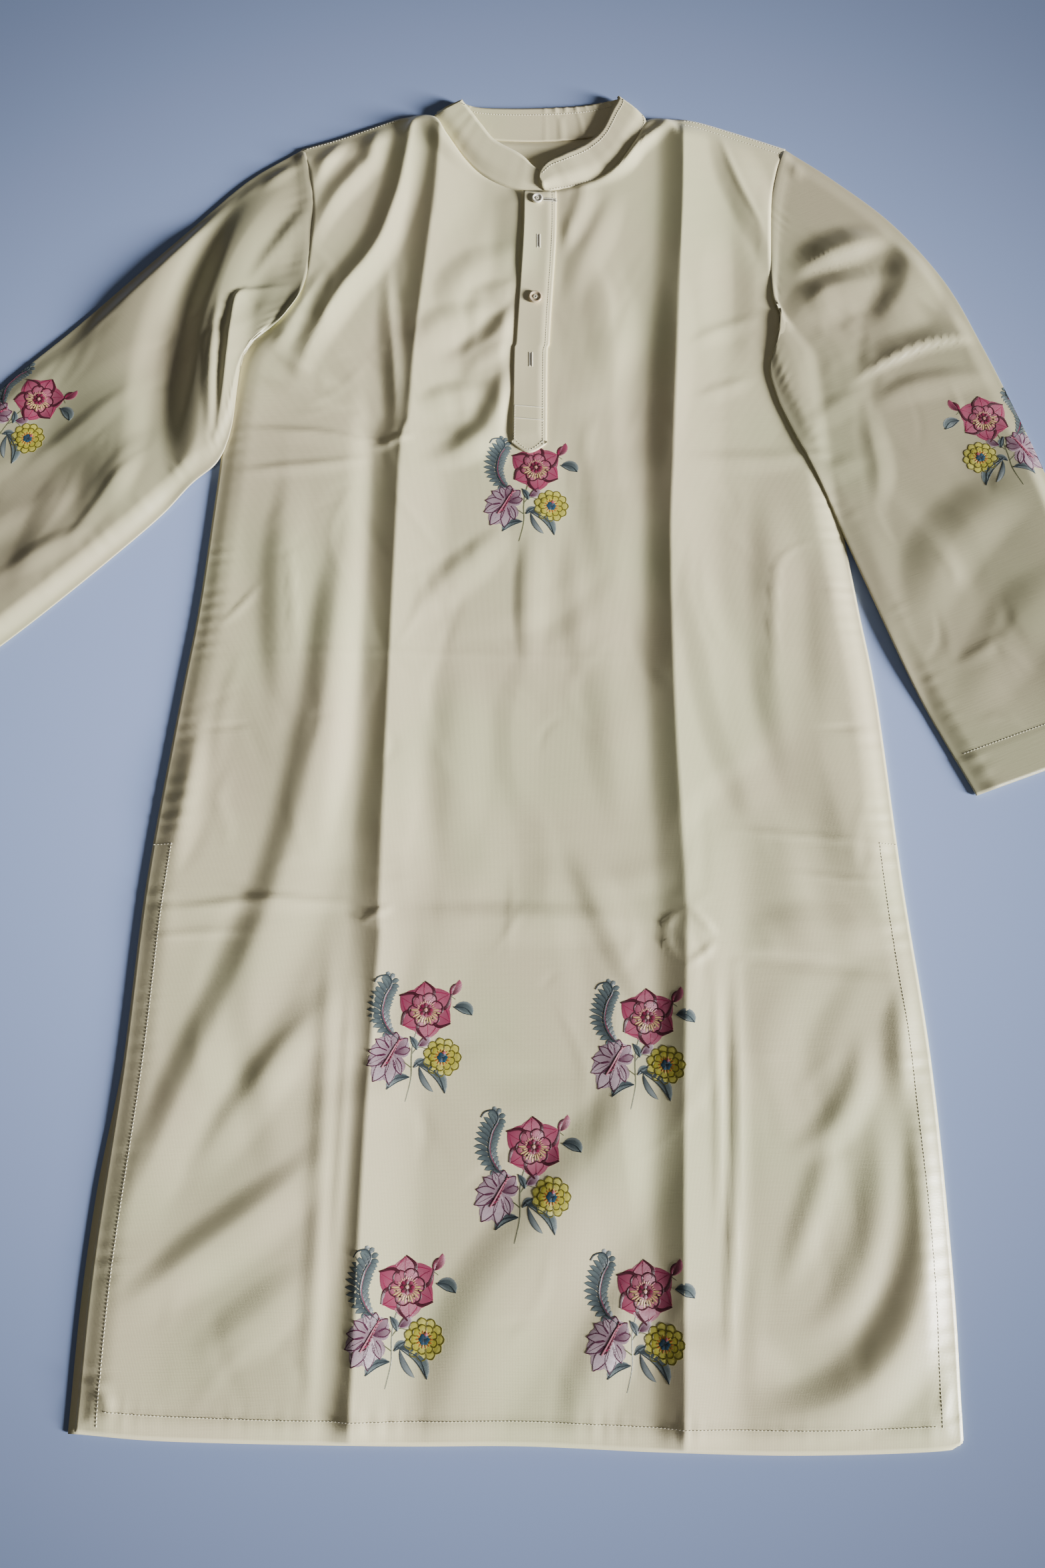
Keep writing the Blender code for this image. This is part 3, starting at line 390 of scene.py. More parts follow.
# Each fold's rise, the width of its lit side and of its shaded side, in millimetres; its crispness
# from 0 to 1; and its path in millimetres, run so that the lit side is on its left
FRONT_FOLDS = in_metres({
    "left press crease": (5.9, 46, 25, 0.8, (-70, 740), (-78, 565), (-83, 510), (-88, 460), (-94, 400),
        (-97, 345), (-99, 318), (-104, 298), (-107, 200), (-110, 50), (-112, -90), (-111, -125),
        (-115, -200), (-119, -300), (-123, -483), (-125, -580)),
    "right press crease": (5.5, 46, 24, 0.8, (150, 740), (146, 570), (140, 470), (132, 340), (129, 290),
        (124, 200), (124, 50), (128, -90), (127, -140), (120, -300), (115, -483), (113, -580)),
    "second left crease": (2.6, 12, 14, 0.6, (-121, 485), (-118, 440), (-113, 380), (-110, 330),
        (-112, 300)),
    "left hip fold": (4.2, 46, 24, 0.3, (-150, 230), (-156, 120), (-161, 60), (-170, 10), (-180, -40),
        (-198, -100), (-222, -160), (-246, -215), (-275, -285), (-300, -340)),
    "left flank slope": (3.2, 24, 100, 0.0, (-150, 380), (-152, 200), (-158, 50), (-166, -80)),
    "left skirt slope": (3.4, 24, 120, 0.0, (-136, -100), (-145, -250), (-150, -380), (-158, -540)),
    "right flank slope": (2.6, 20, 76, 0.0, (258, 340), (268, 150), (280, 0), (292, -140)),
    "left flank fold": (2.2, 30, 20, 0.2, (-196, 290), (-202, 200), (-200, 120), (-196, 30)),
    "left flank crease": (0.8, 6, 5, 0.9, (-198, 225), (-190, 150), (-186, 90)),
    "left skirt fold": (3.4, 34, 20, 0.35, (-140, -270), (-170, -302), (-200, -326), (-236, -352),
        (-268, -376), (-305, -400)),
    "left upper skirt fold": (2.4, 26, 16, 0.3, (-150, -170), (-190, -220), (-220, -262), (-250, -312)),
    "left lower skirt fold": (1.8, 30, 22, 0.2, (-150, -360), (-190, -395), (-240, -430)),
    "left skirt stripe": (1.6, 14, 12, 0.4, (-150, -110), (-149, -220), (-150, -340), (-156, -470)),
    "left skirt inner stripe": (1.0, 8, 7, 0.5, (-134, -140), (-135, -250), (-139, -400)),
    "left vent fold": (1.8, 16, 14, 0.3, (-262, 60), (-270, -10), (-281, -80)),
    "right skirt stripe": (2.0, 12, 7, 0.9, (166, -120), (163, -190), (162, -250), (157, -320), (150, -400),
        (146, -460)),
    "right skirt inner stripe": (1.4, 8, 7, 0.9, (150, -130), (148, -200), (147, -280), (141, -360)),
    "right skirt great fold": (5.4, 34, 28, 0.25, (306, -220), (306, -290), (298, -350), (280, -404),
        (252, -438), (220, -456), (180, -462), (150, -446)),
    "right skirt inner fold": (2.8, 24, 22, 0.25, (268, -240), (266, -310), (256, -352), (232, -392),
        (195, -416)),
    "right skirt short fold": (2.4, 20, 16, 0.3, (262, -190), (252, -236), (232, -266), (196, -290)),
    "right skirt third fold": (2.0, 18, 16, 0.3, (236, -250), (224, -300), (204, -350), (186, -390)),
    "right vent fold": (2.6, 18, 18, 0.3, (300, -150), (290, -200), (286, -260)),
    "right hip fold": (2.2, 30, 24, 0.2, (206, 270), (210, 160), (209, 80), (216, 20), (228, -30)),
    "right inner hip fold": (2.2, 34, 22, 0.25, (140, 200), (150, 120), (160, 60), (176, 0), (200, -60)),
    "skirt cross swell, right": (2.4, 26, 22, 0.2, (300, -126), (240, -116), (180, -106)),
    "skirt cross crease, right": (-1.3, 9, 12, 0.4, (150, -136), (230, -144), (300, -154)),
    "skirt cross line, right": (0.9, 5, 6, 0.8, (302, -52), (240, -46), (180, -40), (150, -36)),
    "skirt second line, right": (0.8, 6, 5, 0.8, (302, -82), (250, -78), (196, -70)),
    "skirt cross crease, left": (1.8, 14, 6, 0.8, (-112, -98), (-160, -96), (-200, -94), (-250, -99),
        (-304, -103)),
    "skirt cross line, left": (1.0, 7, 5, 0.8, (-200, -122), (-240, -120), (-302, -124)),
    "skirt cross trough, centre": (1.9, 26, 14, 0.3, (112, -118), (60, -110), (0, -108), (-60, -106),
        (-108, -102)),
    "skirt diagonal": (1.8, 26, 16, 0.2, (36, -50), (58, -95), (86, -160), (100, -190)),
    "skirt long slope": (3.4, 60, 34, 0.1, (118, -200), (70, -270), (20, -330), (-25, -385), (-50, -450),
        (-58, -510)),
    "skirt lower slope": (1.8, 30, 24, 0.1, (105, -360), (70, -400), (45, -450), (36, -500)),
    "waist cross crease, left": (1.8, 16, 6, 0.8, (-100, 306), (-130, 300), (-170, 308), (-215, 312),
        (-255, 316)),
    "waist second crease, left": (1.4, 12, 6, 0.7, (-118, 288), (-160, 280), (-210, 276), (-258, 272)),
    "waist cross crease, right": (1.2, 16, 12, 0.4, (262, 288), (200, 284), (135, 286)),
    "waist cross swell, centre": (1.8, 26, 20, 0.2, (20, 292), (-40, 300), (-92, 308)),
    "middle cross crease": (0.25, 7, 5, 0.9, (118, 104), (0, 107), (-100, 109), (-250, 108)),
    "centre waist fold": (2.0, 22, 12, 0.3, (6, 225), (3, 160), (3, 90)),
    "centre waist fold, right": (1.4, 26, 18, 0.2, (44, 235), (46, 160), (52, 70)),
    "waist diagonal": (2.2, 26, 16, 0.2, (-10, 225), (-40, 196), (-66, 170), (-92, 132)),
    "centre left swell": (1.6, 34, 26, 0.1, (-50, 120), (-56, 20), (-60, -80)),
    "centre right swell": (1.6, 34, 26, 0.1, (75, 160), (72, 50), (80, -50)),
    "chest great fold": (5.8, 22, 20, 0.7, (-98, 690), (-102, 620), (-110, 562), (-118, 530), (-127, 502),
        (-140, 478), (-160, 450), (-178, 415), (-192, 380), (-200, 345)),
    "chest second fold": (3.6, 18, 16, 0.5, (-128, 690), (-137, 596), (-150, 572), (-168, 548), (-182, 520),
        (-196, 480)),
    "chest third fold": (3.0, 12, 14, 0.5, (-156, 640), (-170, 600), (-182, 578), (-192, 550)),
    "armhole drag": (2.0, 16, 12, 0.4, (-172, 480), (-190, 445), (-208, 410), (-222, 380)),
    "underarm drag, left": (1.4, 12, 8, 0.6, (-150, 352), (-185, 366), (-222, 392)),
    "underarm second drag, left": (1.2, 12, 8, 0.6, (-150, 330), (-190, 346), (-236, 366)),
    "placket arc": (2.6, 30, 24, 0.1, (2, 490), (-20, 482), (-44, 468), (-60, 446), (-62, 412)),
    "placket bump": (2.2, 20, 15, 0.1, (4, 448), (-18, 448), (-34, 440), (-40, 424), (-36, 404)),
    "placket smear": (2.6, 28, 20, 0.1, (-20, 432), (-46, 421), (-74, 410), (-94, 380)),
    "placket drag": (3.6, 24, 17, 0.2, (6, 436), (-10, 420), (-24, 402), (-42, 388), (-70, 372)),
    "placket tip fold": (1.6, 18, 14, 0.2, (4, 396), (-20, 384), (-40, 372), (-56, 352)),
    "placket lower slope": (2.4, 34, 16, 0.2, (-30, 352), (-56, 346), (-92, 334)),
    "placket lower drag": (4.2, 20, 19, 0.3, (-8, 386), (-14, 354), (-20, 332), (-34, 308), (-58, 290),
        (-92, 280)),
    "right breast fold": (2.2, 16, 11, 0.4, (60, 585), (52, 540), (42, 510), (28, 480)),
    "right second breast fold": (1.8, 22, 16, 0.2, (88, 560), (70, 515), (52, 475), (40, 430)),
    "right crease flank": (-2.2, 26, 30, 0.0, (122, 480), (114, 420), (107, 350), (102, 280), (104, 220)),
    "right chest fall": (1.6, 30, 40, 0.2, (126, 500), (126, 430), (122, 360), (118, 270)),
    "right middle fall": (2.0, 30, 26, 0.2, (66, 480), (78, 420), (80, 340)),
    "right shoulder fold": (3.0, 30, 20, 0.3, (176, 640), (190, 580), (208, 530), (222, 490), (230, 455)),
    "right shoulder crease": (1.0, 6, 6, 0.9, (178, 618), (196, 560), (220, 505)),
    "right collar fold": (4.6, 12, 10, 0.7, (150, 650), (128, 620), (106, 600), (93, 582), (70, 566),
        (40, 552)),
    "left collar fold": (1.6, 11, 12, 0.3, (-100, 645), (-90, 628), (-73, 602), (-55, 581), (-30, 562)),
    "right chest crease": (1.2, 16, 9, 0.6, (215, 424), (185, 414), (160, 402), (142, 388)),
    "right chest second crease": (1.0, 14, 9, 0.6, (205, 364), (175, 352), (145, 340)),
    "pocket edge, left": (0.8, 8, 3, 0.9, (-216, 178), (-226, 162), (-240, 145), (-256, 130)),
    "pocket foot, left": (-0.8, 4, 4, 0.9, (-280, 48), (-250, 46), (-212, 50)),
    "pocket edge, right": (0.9, 7, 3, 0.9, (262, 214), (234, 205), (215, 190), (209, 160), (206, 110),
        (205, 60)),
    "pocket foot, right": (-0.8, 4, 4, 0.9, (232, 44), (260, 45), (292, 48)),
    "pinch over the left crease": (1.5, 7, 4, 0.8, (-88, 306), (-104, 303), (-122, 296), (-140, 297)),
    "skirt pinch, left crease": (1.2, 6, 4, 0.8, (-98, -100), (-112, -104), (-128, -112)),
    "skirt second pinch, left": (1.0, 5, 4, 0.8, (-104, -116), (-118, -112), (-140, -104)),
    "diamond top, right crease": (1.8, 9, 5, 0.9, (154, -125), (142, -112), (127, -99)),
    "diamond foot, right crease": (1.4, 8, 5, 0.9, (152, -124), (140, -136), (124, -146)),
    "diamond side, right crease": (1.5, 8, 5, 0.9, (128, -100), (113, -112), (112, -128), (124, -144)),
    "skirt corner fold, left": (1.4, 8, 8, 0.5, (-288, -470), (-300, -452), (-318, -438)),
    "skirt corner fold, right": (1.6, 8, 8, 0.5, (312, -436), (305, -452), (296, -472)),
    "hem swell, right": (1.8, 22, 20, 0.2, (200, -440), (155, -420), (112, -408)),
})


def folded(x, y, folds):
    """Add up ridges and troughs, each with its own falls, thinning out towards both ends."""
    height = np.zeros_like(x)
    for rise, left_fall, right_fall, crisp, path in folds:
        line = through(path, 12)
        length = np.linalg.norm(np.diff(line[:, :2], axis=0), axis=1).sum()
        line = through(path, max(8, int(length / 0.006)))
        reach = max(left_fall, right_fall) * MM
        near = ((x > line[:, 0].min() - reach) & (x < line[:, 0].max() + reach)
                & (y > line[:, 1].min() - reach) & (y < line[:, 1].max() + reach))
        gap_x = x[near][:, None] - line[:, 0]
        gap_y = y[near][:, None] - line[:, 1]
        nearest = np.argmin(gap_x ** 2 + gap_y ** 2, axis=1)
        row = np.arange(len(nearest))
        heading = np.gradient(line, axis=0)
        heading = (heading / np.linalg.norm(heading, axis=1, keepdims=True))[nearest]
        gap_x, gap_y = gap_x[row, nearest], gap_y[row, nearest]
        side = heading[:, 0] * gap_y - heading[:, 1] * gap_x
        ahead = heading[:, 0] * gap_x + heading[:, 1] * gap_y
        travel = nearest / (len(line) - 1.0) * length + ahead
        taper = min(0.42 * length, FOLD_TAPER)
        ends = smoothstep(travel / taper) * smoothstep((length - travel) / taper)
        fall = MM * np.where(side > 0, left_fall, right_fall) * (0.6 + 0.4 * ends)
        across = np.clip(np.abs(side) / fall, 0.0, 1.0)
        soft = (1.0 - across ** 2) ** 2
        sharp = (1.0 - across) ** 1.7
        height[near] += MM * rise * (soft + crisp * (sharp - soft)) * ends
    return height


def small_folds(seed, count, spots, lengths, widths, rises, lean):
    """Scatter short shallow creases, the same ones on every run."""
    chance = np.random.default_rng(seed)
    folds = ()
    for _ in range(count):
        x = chance.uniform(*spots[0])
        y = chance.uniform(*spots[1])
        heading = chance.normal(*lean)
        length = chance.uniform(*lengths)
        bow = chance.normal(0.0, 0.12) * length
        step = 0.5 * length * np.array((math.cos(heading), math.sin(heading)))
        side = bow * np.array((-math.sin(heading), math.cos(heading)))
        path = (np.array((x, y)) - step, np.array((x, y)) + side, np.array((x, y)) + step)
        folds += ((chance.uniform(*rises) * chance.choice((-1.0, 1.0)), chance.uniform(*widths),
                   chance.uniform(*widths), chance.uniform(0.0, 0.5), path),)
    return folds


# seed, count, where in x and in y, lengths in metres, widths and rises in millimetres, heading and
# its spread in radians
FRONT_SMALL_FOLDS = (
    small_folds(7, 34, ((-0.28, 0.28), (-0.42, 0.52)), (0.14, 0.32), (18, 38), (0.4, 1.5), (-1.57, 0.16))
    + small_folds(8, 14, ((-0.28, 0.28), (-0.44, 0.40)), (0.10, 0.22), (16, 30), (0.3, 0.9), (0.0, 0.25))
    + small_folds(3, 130, ((-0.29, 0.29), (-0.46, 0.58)), (0.03, 0.13), (5, 12), (0.08, 0.36),
                  (-1.57, 0.30))
    + small_folds(5, 60, ((-0.29, 0.29), (-0.46, 0.50)), (0.02, 0.07), (4, 8), (0.08, 0.26), (0.0, 0.5))
)


def puckers(along, pitch, depth, seed):
    """Ripple a stitched edge: waves across it whose pitch and depth wander, with calm stretches."""
    chance = np.random.default_rng(seed)
    knots = np.arange(-0.7, 0.75, 0.016)
    phase = np.interp(along, knots, np.cumsum(chance.normal(0.0, 1.3, len(knots))))
    strength = np.interp(along, knots, np.clip(chance.uniform(-0.7, 1.0, len(knots)), 0.06, 1.0))
    return depth * strength * np.sin(2 * math.pi * along / pitch + phase)


def seam_puckers(along, off, pitch, depth, seed, middle, reach):
    """Keep the puckers near a seam: strongest at the middle of their reach from its edge."""
    return puckers(along, pitch, depth, seed) * np.exp(-((off - middle) / reach) ** 2)


def front_height(x, y, small=FRONT_SMALL_FOLDS, swell=SLOT_SWELL):
    """Give the front's height over the back: air under it, folds in it, all flat at its edges."""
    from_left = x - left_side(y)
    from_right = right_side(y) - x
    sewn_in = smoothstep((y - ARMHOLE_FOOT_Y) / ARMHOLE_FADE)
    from_side = np.minimum(from_left, from_right) * (1.0 + ARMHOLE_GAIN * sewn_in) + ARMHOLE_SET * sewn_in
    collared = (smoothstep((x - COLLARED_X[0]) / COLLARED_FADE)
                * smoothstep((COLLARED_X[1] - x) / COLLARED_FADE))
    from_top = (front_top(x) - y) * (1.0 + 2.0 * collared) + 0.006 * collared
    inside = np.minimum(from_side, from_top)
    from_hem = y - hem_edge(x)
    fade = smoothstep(inside / EDGE_FADE + 0.05) * smoothstep(from_hem / EDGE_FADE + 0.45)
    beside = np.abs(x - placket_edge(y) - 0.5 * PLACKET_WIDTH) - 0.53 * PLACKET_WIDTH
    below = PLACKET_BOTTOM_Y - 0.5 * PLACKET_WIDTH - y
    calm = smoothstep(np.maximum(beside, below) / CALM_FADE)
    hem = HEM_RISE * smoothstep((HEM_DEPTH - from_hem) / MM)
    lift = fade * np.maximum(AIR + calm * (folded(x, y, FRONT_FOLDS) + folded(x, y, small)), LEAST_LIFT)
    seam_side = smoothstep((PUCKER_TOP_Y - y) / PUCKER_FADE)
    left_pull = seam_puckers(y, from_left, *LEFT_PUCKERS)
    right_pull = seam_puckers(y, from_right, *RIGHT_PUCKERS)
    hem_pull = seam_puckers(x, from_hem, *HEM_PUCKERS)
    pull = np.maximum(seam_side * (left_pull + right_pull) + hem_pull, -0.5 * lift)
    gap = x - placket_edge(y) + 0.004
    bank = (1.0 - np.clip(np.abs(gap) / np.where(gap > 0, 0.009, 0.026), 0.0, 1.0) ** 2) ** 2
    bank *= smoothstep((y - SLOT_BOTTOM_Y + 0.012) / 0.03) * smoothstep((0.556 - y) / 0.02)
    edge = np.minimum(inside, from_hem)
    return lift + hem + pull + swell * bank - EDGE_DROP * (1.0 - smoothstep(edge / DROP_RUN))


def front_points():
    """Lay out the front's rows and columns, with a column along each crease and slot edge."""
    levels = spaced([HEM_Y, HEM_Y + HEM_DEPTH, PLACKET_BOTTOM_Y, SLOT_BOTTOM_Y, CHEST_Y, SHOULDER_Y],
                    ROW_STEP)
    slot = placket_edge(levels) + SLOT_INSET
    guides = np.column_stack((
        left_side(levels), left_press(levels), slot, slot + SLOT_WIDTH, neck_column(levels),
        right_press(levels), right_side(levels)))
    stops = np.concatenate(([0], np.cumsum(COLUMN_STEPS)))
    place = np.arange(stops[-1] + 1)
    x = np.array([np.interp(place, stops, row) for row in guides])
    span = np.searchsorted(stops, place, side="right") - 1
    span = np.minimum(span, len(COLUMN_STEPS) - 1)
    share = (place - stops[span]) / np.array(COLUMN_STEPS)[span]
    width = np.diff(guides, axis=1)[:, span]
    x -= 0.055 * width * np.sin(2 * math.pi * share)
    y = panel_y(levels, x, front_top)
    grid = np.dstack((x, y, FRONT_LEVEL + CLOTH + front_height(x, y)))
    return grid, levels, stops[2], stops[3]


front_grid, front_levels, slot_start, slot_end = front_points()
slot_row = int(np.argmin(np.abs(front_levels - SLOT_BOTTOM_Y)))
slot_cells = np.zeros(((front_grid.shape[0] - 1) // 2, (front_grid.shape[1] - 1) // 2), dtype=bool)
slot_cells[slot_row // 2:, slot_start // 2:slot_end // 2] = True
front_panel = thin_cloth("front_cloth", front_grid, FRONT_CLOTH, body_cloth, slot_cells)
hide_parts("front_panel")
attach(front_panel, "root")

# The sleeves: two long tubes of the same cloth, sewn into the armholes and pressed flat by their own
# weight. Each laps onto the front at the armhole, and its underarm corner lies over the body's side.
SLEEVE_STEP = 0.0031
SLEEVE_COLUMNS = 84
SLEEVE_UNDER_COLUMNS = 24
SLEEVE_EDGE = 1.8 * MM
SLEEVE_CLEAR = 0.45 * MM
SLEEVE_CLOTH = 0.7 * MM
# Below this height a sleeve lies over the body's side
CLIMB_Y = 0.485
CLIMB_FADE = 0.055
CLIMB_START = 0.044
CLIMB_RUN = 0.024
SEAM_LAP = 2.5 * MM
SEAM_RISE = 3.1 * MM
SLEEVE_FADE = 0.018
SEAM_SETTLE = 0.009
CUFF_DEPTH = 0.035
ARMHOLE_BLEND = 0.08

# The sleeve of the wearer's right arm, on the left of the picture, in the front's own terms
RIGHT_SLEEVE_FOLDS = in_metres({
    "long fold": (7.2, 34, 38, 0.2, (-206, 580), (-226, 545), (-246, 508), (-262, 468), (-272, 420),
        (-276, 360), (-279, 300), (-290, 235)),
    "forearm slope": (6.5, 16, 125, 0.0, (-268, 330), (-300, 262), (-345, 210), (-420, 138), (-520, 48),
        (-560, 10)),
    "outer slope": (5.5, 26, 66, 0.0, (-250, 585), (-296, 520), (-330, 450), (-345, 370), (-345, 290),
        (-352, 210)),
    "long valley": (-3.6, 20, 24, 0.2, (-252, 560), (-276, 500), (-296, 430), (-304, 350), (-308, 270)),
    "underarm lip": (5.6, 20, 7, 0.8, (-196, 456), (-216, 452), (-236, 449), (-250, 444), (-254.5, 428),
        (-257, 385), (-259, 345), (-262, 312), (-268, 285)),
    "underarm thin fold": (3.2, 7, 9, 0.6, (-266, 452), (-270, 405), (-270, 360), (-269, 315), (-274, 285)),
    "cap fold": (3.6, 22, 12, 0.7, (-192, 545), (-204, 520), (-218, 496), (-234, 470), (-246, 452)),
    "cap crease": (1.6, 10, 10, 0.5, (-202, 588), (-222, 568), (-240, 550)),
    "elbow line": (1.6, 14, 8, 0.5, (-316, 300), (-340, 268), (-362, 235), (-388, 200)),
    "elbow swell": (2.4, 34, 26, 0.1, (-306, 320), (-332, 270), (-352, 222)),
    "upper forearm line": (1.3, 18, 12, 0.3, (-330, 360), (-380, 315), (-440, 262)),
    "forearm fold": (1.8, 26, 20, 0.2, (-386, 290), (-405, 215), (-424, 150)),
    "forearm cross fold": (1.4, 16, 12, 0.3, (-350, 226), (-400, 200), (-446, 168)),
    "wrist fold": (2.2, 26, 24, 0.2, (-450, 330), (-520, 235), (-590, 150)),
    "wrist second fold": (1.8, 18, 18, 0.3, (-440, 220), (-500, 165), (-560, 90)),
})
LEFT_SLEEVE_FOLDS = in_metres({
    "cap crumple": (1.8, 10, 8, 0.5, (252, 594), (250, 578), (246, 562)),
    "cap ridge": (7.4, 17, 28, 0.5, (338, 503), (318, 500), (286, 489), (258, 476), (238, 460)),
    "cap second ridge": (6.4, 34, 23, 0.4, (334, 452), (318, 460), (296, 456), (274, 450), (256, 438),
        (240, 420), (228, 402)),
    "hook ridge": (5.2, 38, 26, 0.3, (334, 508), (342, 488), (344, 468), (337, 446), (323, 426),
        (304, 408)),
    "cap outer crease": (1.8, 12, 8, 0.6, (388, 462), (366, 476), (342, 494)),
    "bicep crease": (1.8, 14, 7, 0.7, (408, 412), (385, 420), (366, 428), (346, 442)),
    "elbow ridge": (4.8, 9, 22, 0.8, (430, 402), (396, 403), (358, 397), (324, 382), (292, 362),
        (276, 346)),
    "elbow under fold": (2.6, 20, 14, 0.3, (420, 366), (370, 362), (330, 352), (300, 330)),
    "underarm lip": (2.4, 22, 14, 0.2, (236, 415), (226, 380), (232, 345), (246, 312), (264, 270)),
    "underarm trough": (-1.4, 16, 16, 0.2, (262, 400), (256, 365), (262, 330)),
    "elbow side fold": (3.0, 18, 12, 0.4, (300, 350), (284, 344), (264, 330), (244, 310)),
    "elbow lower side fold": (2.6, 18, 12, 0.4, (300, 282), (282, 282), (262, 272), (250, 256)),
    "seam fold": (2.4, 18, 14, 0.3, (300, 345), (300, 310), (304, 270), (298, 230)),
    "forearm long slope": (6.5, 18, 110, 0.0, (436, 345), (458, 262), (482, 170), (500, 90), (516, 10)),
    "forearm swell": (3.4, 34, 36, 0.1, (440, 262), (385, 232), (350, 190), (328, 130)),
    "forearm slope": (2.0, 36, 30, 0.1, (470, 190), (420, 150), (385, 100), (360, 50)),
    "wrist line": (1.0, 12, 8, 0.5, (404, 130), (378, 112), (350, 96)),
})
# Sleeve edges from armhole to cuff: outer x, outer y, underarm x, underarm y
RIGHT_SLEEVE_EDGES = (
    (-0.203, 0.599, -0.247, 0.388), (-0.250, 0.566, -0.249, 0.350), (-0.295, 0.520, -0.252, 0.312),
    (-0.340, 0.473, -0.262, 0.283), (-0.395, 0.415, -0.283, 0.262), (-0.450, 0.360, -0.322, 0.219),
    (-0.530, 0.267, -0.415, 0.132), (-0.612, 0.165, -0.512, 0.052),
)
LEFT_SLEEVE_EDGES = (
    (0.242, 0.599, 0.2395, 0.412), (0.285, 0.566, 0.217, 0.378), (0.335, 0.520, 0.220, 0.345),
    (0.378, 0.460, 0.232, 0.312), (0.406, 0.395, 0.246, 0.280), (0.428, 0.335, 0.262, 0.241),
    (0.452, 0.262, 0.284, 0.180), (0.480, 0.150, 0.322, 0.080), (0.506, 0.041, 0.365, -0.010),
)
RIGHT_SLEEVE_SMALL = (
    small_folds(21, 60, ((-0.58, -0.24), (0.10, 0.52)), (0.03, 0.09), (5, 11), (0.10, 0.4), (-2.3, 0.4))
    + small_folds(24, 14, ((-0.56, -0.26), (0.12, 0.48)), (0.10, 0.20), (16, 30), (0.4, 1.2), (-2.3, 0.25))
)
LEFT_SLEEVE_SMALL = (
    small_folds(22, 50, ((0.25, 0.48), (0.02, 0.54)), (0.03, 0.08), (5, 10), (0.10, 0.4), (-1.2, 0.5))
    + small_folds(23, 20, ((0.25, 0.32), (0.35, 0.43)), (0.02, 0.05), (6, 11), (0.15, 0.4), (0.6, 0.8))
    + small_folds(25, 12, ((0.26, 0.46), (0.04, 0.50)), (0.10, 0.18), (16, 28), (0.4, 1.2), (-1.0, 0.3))
)


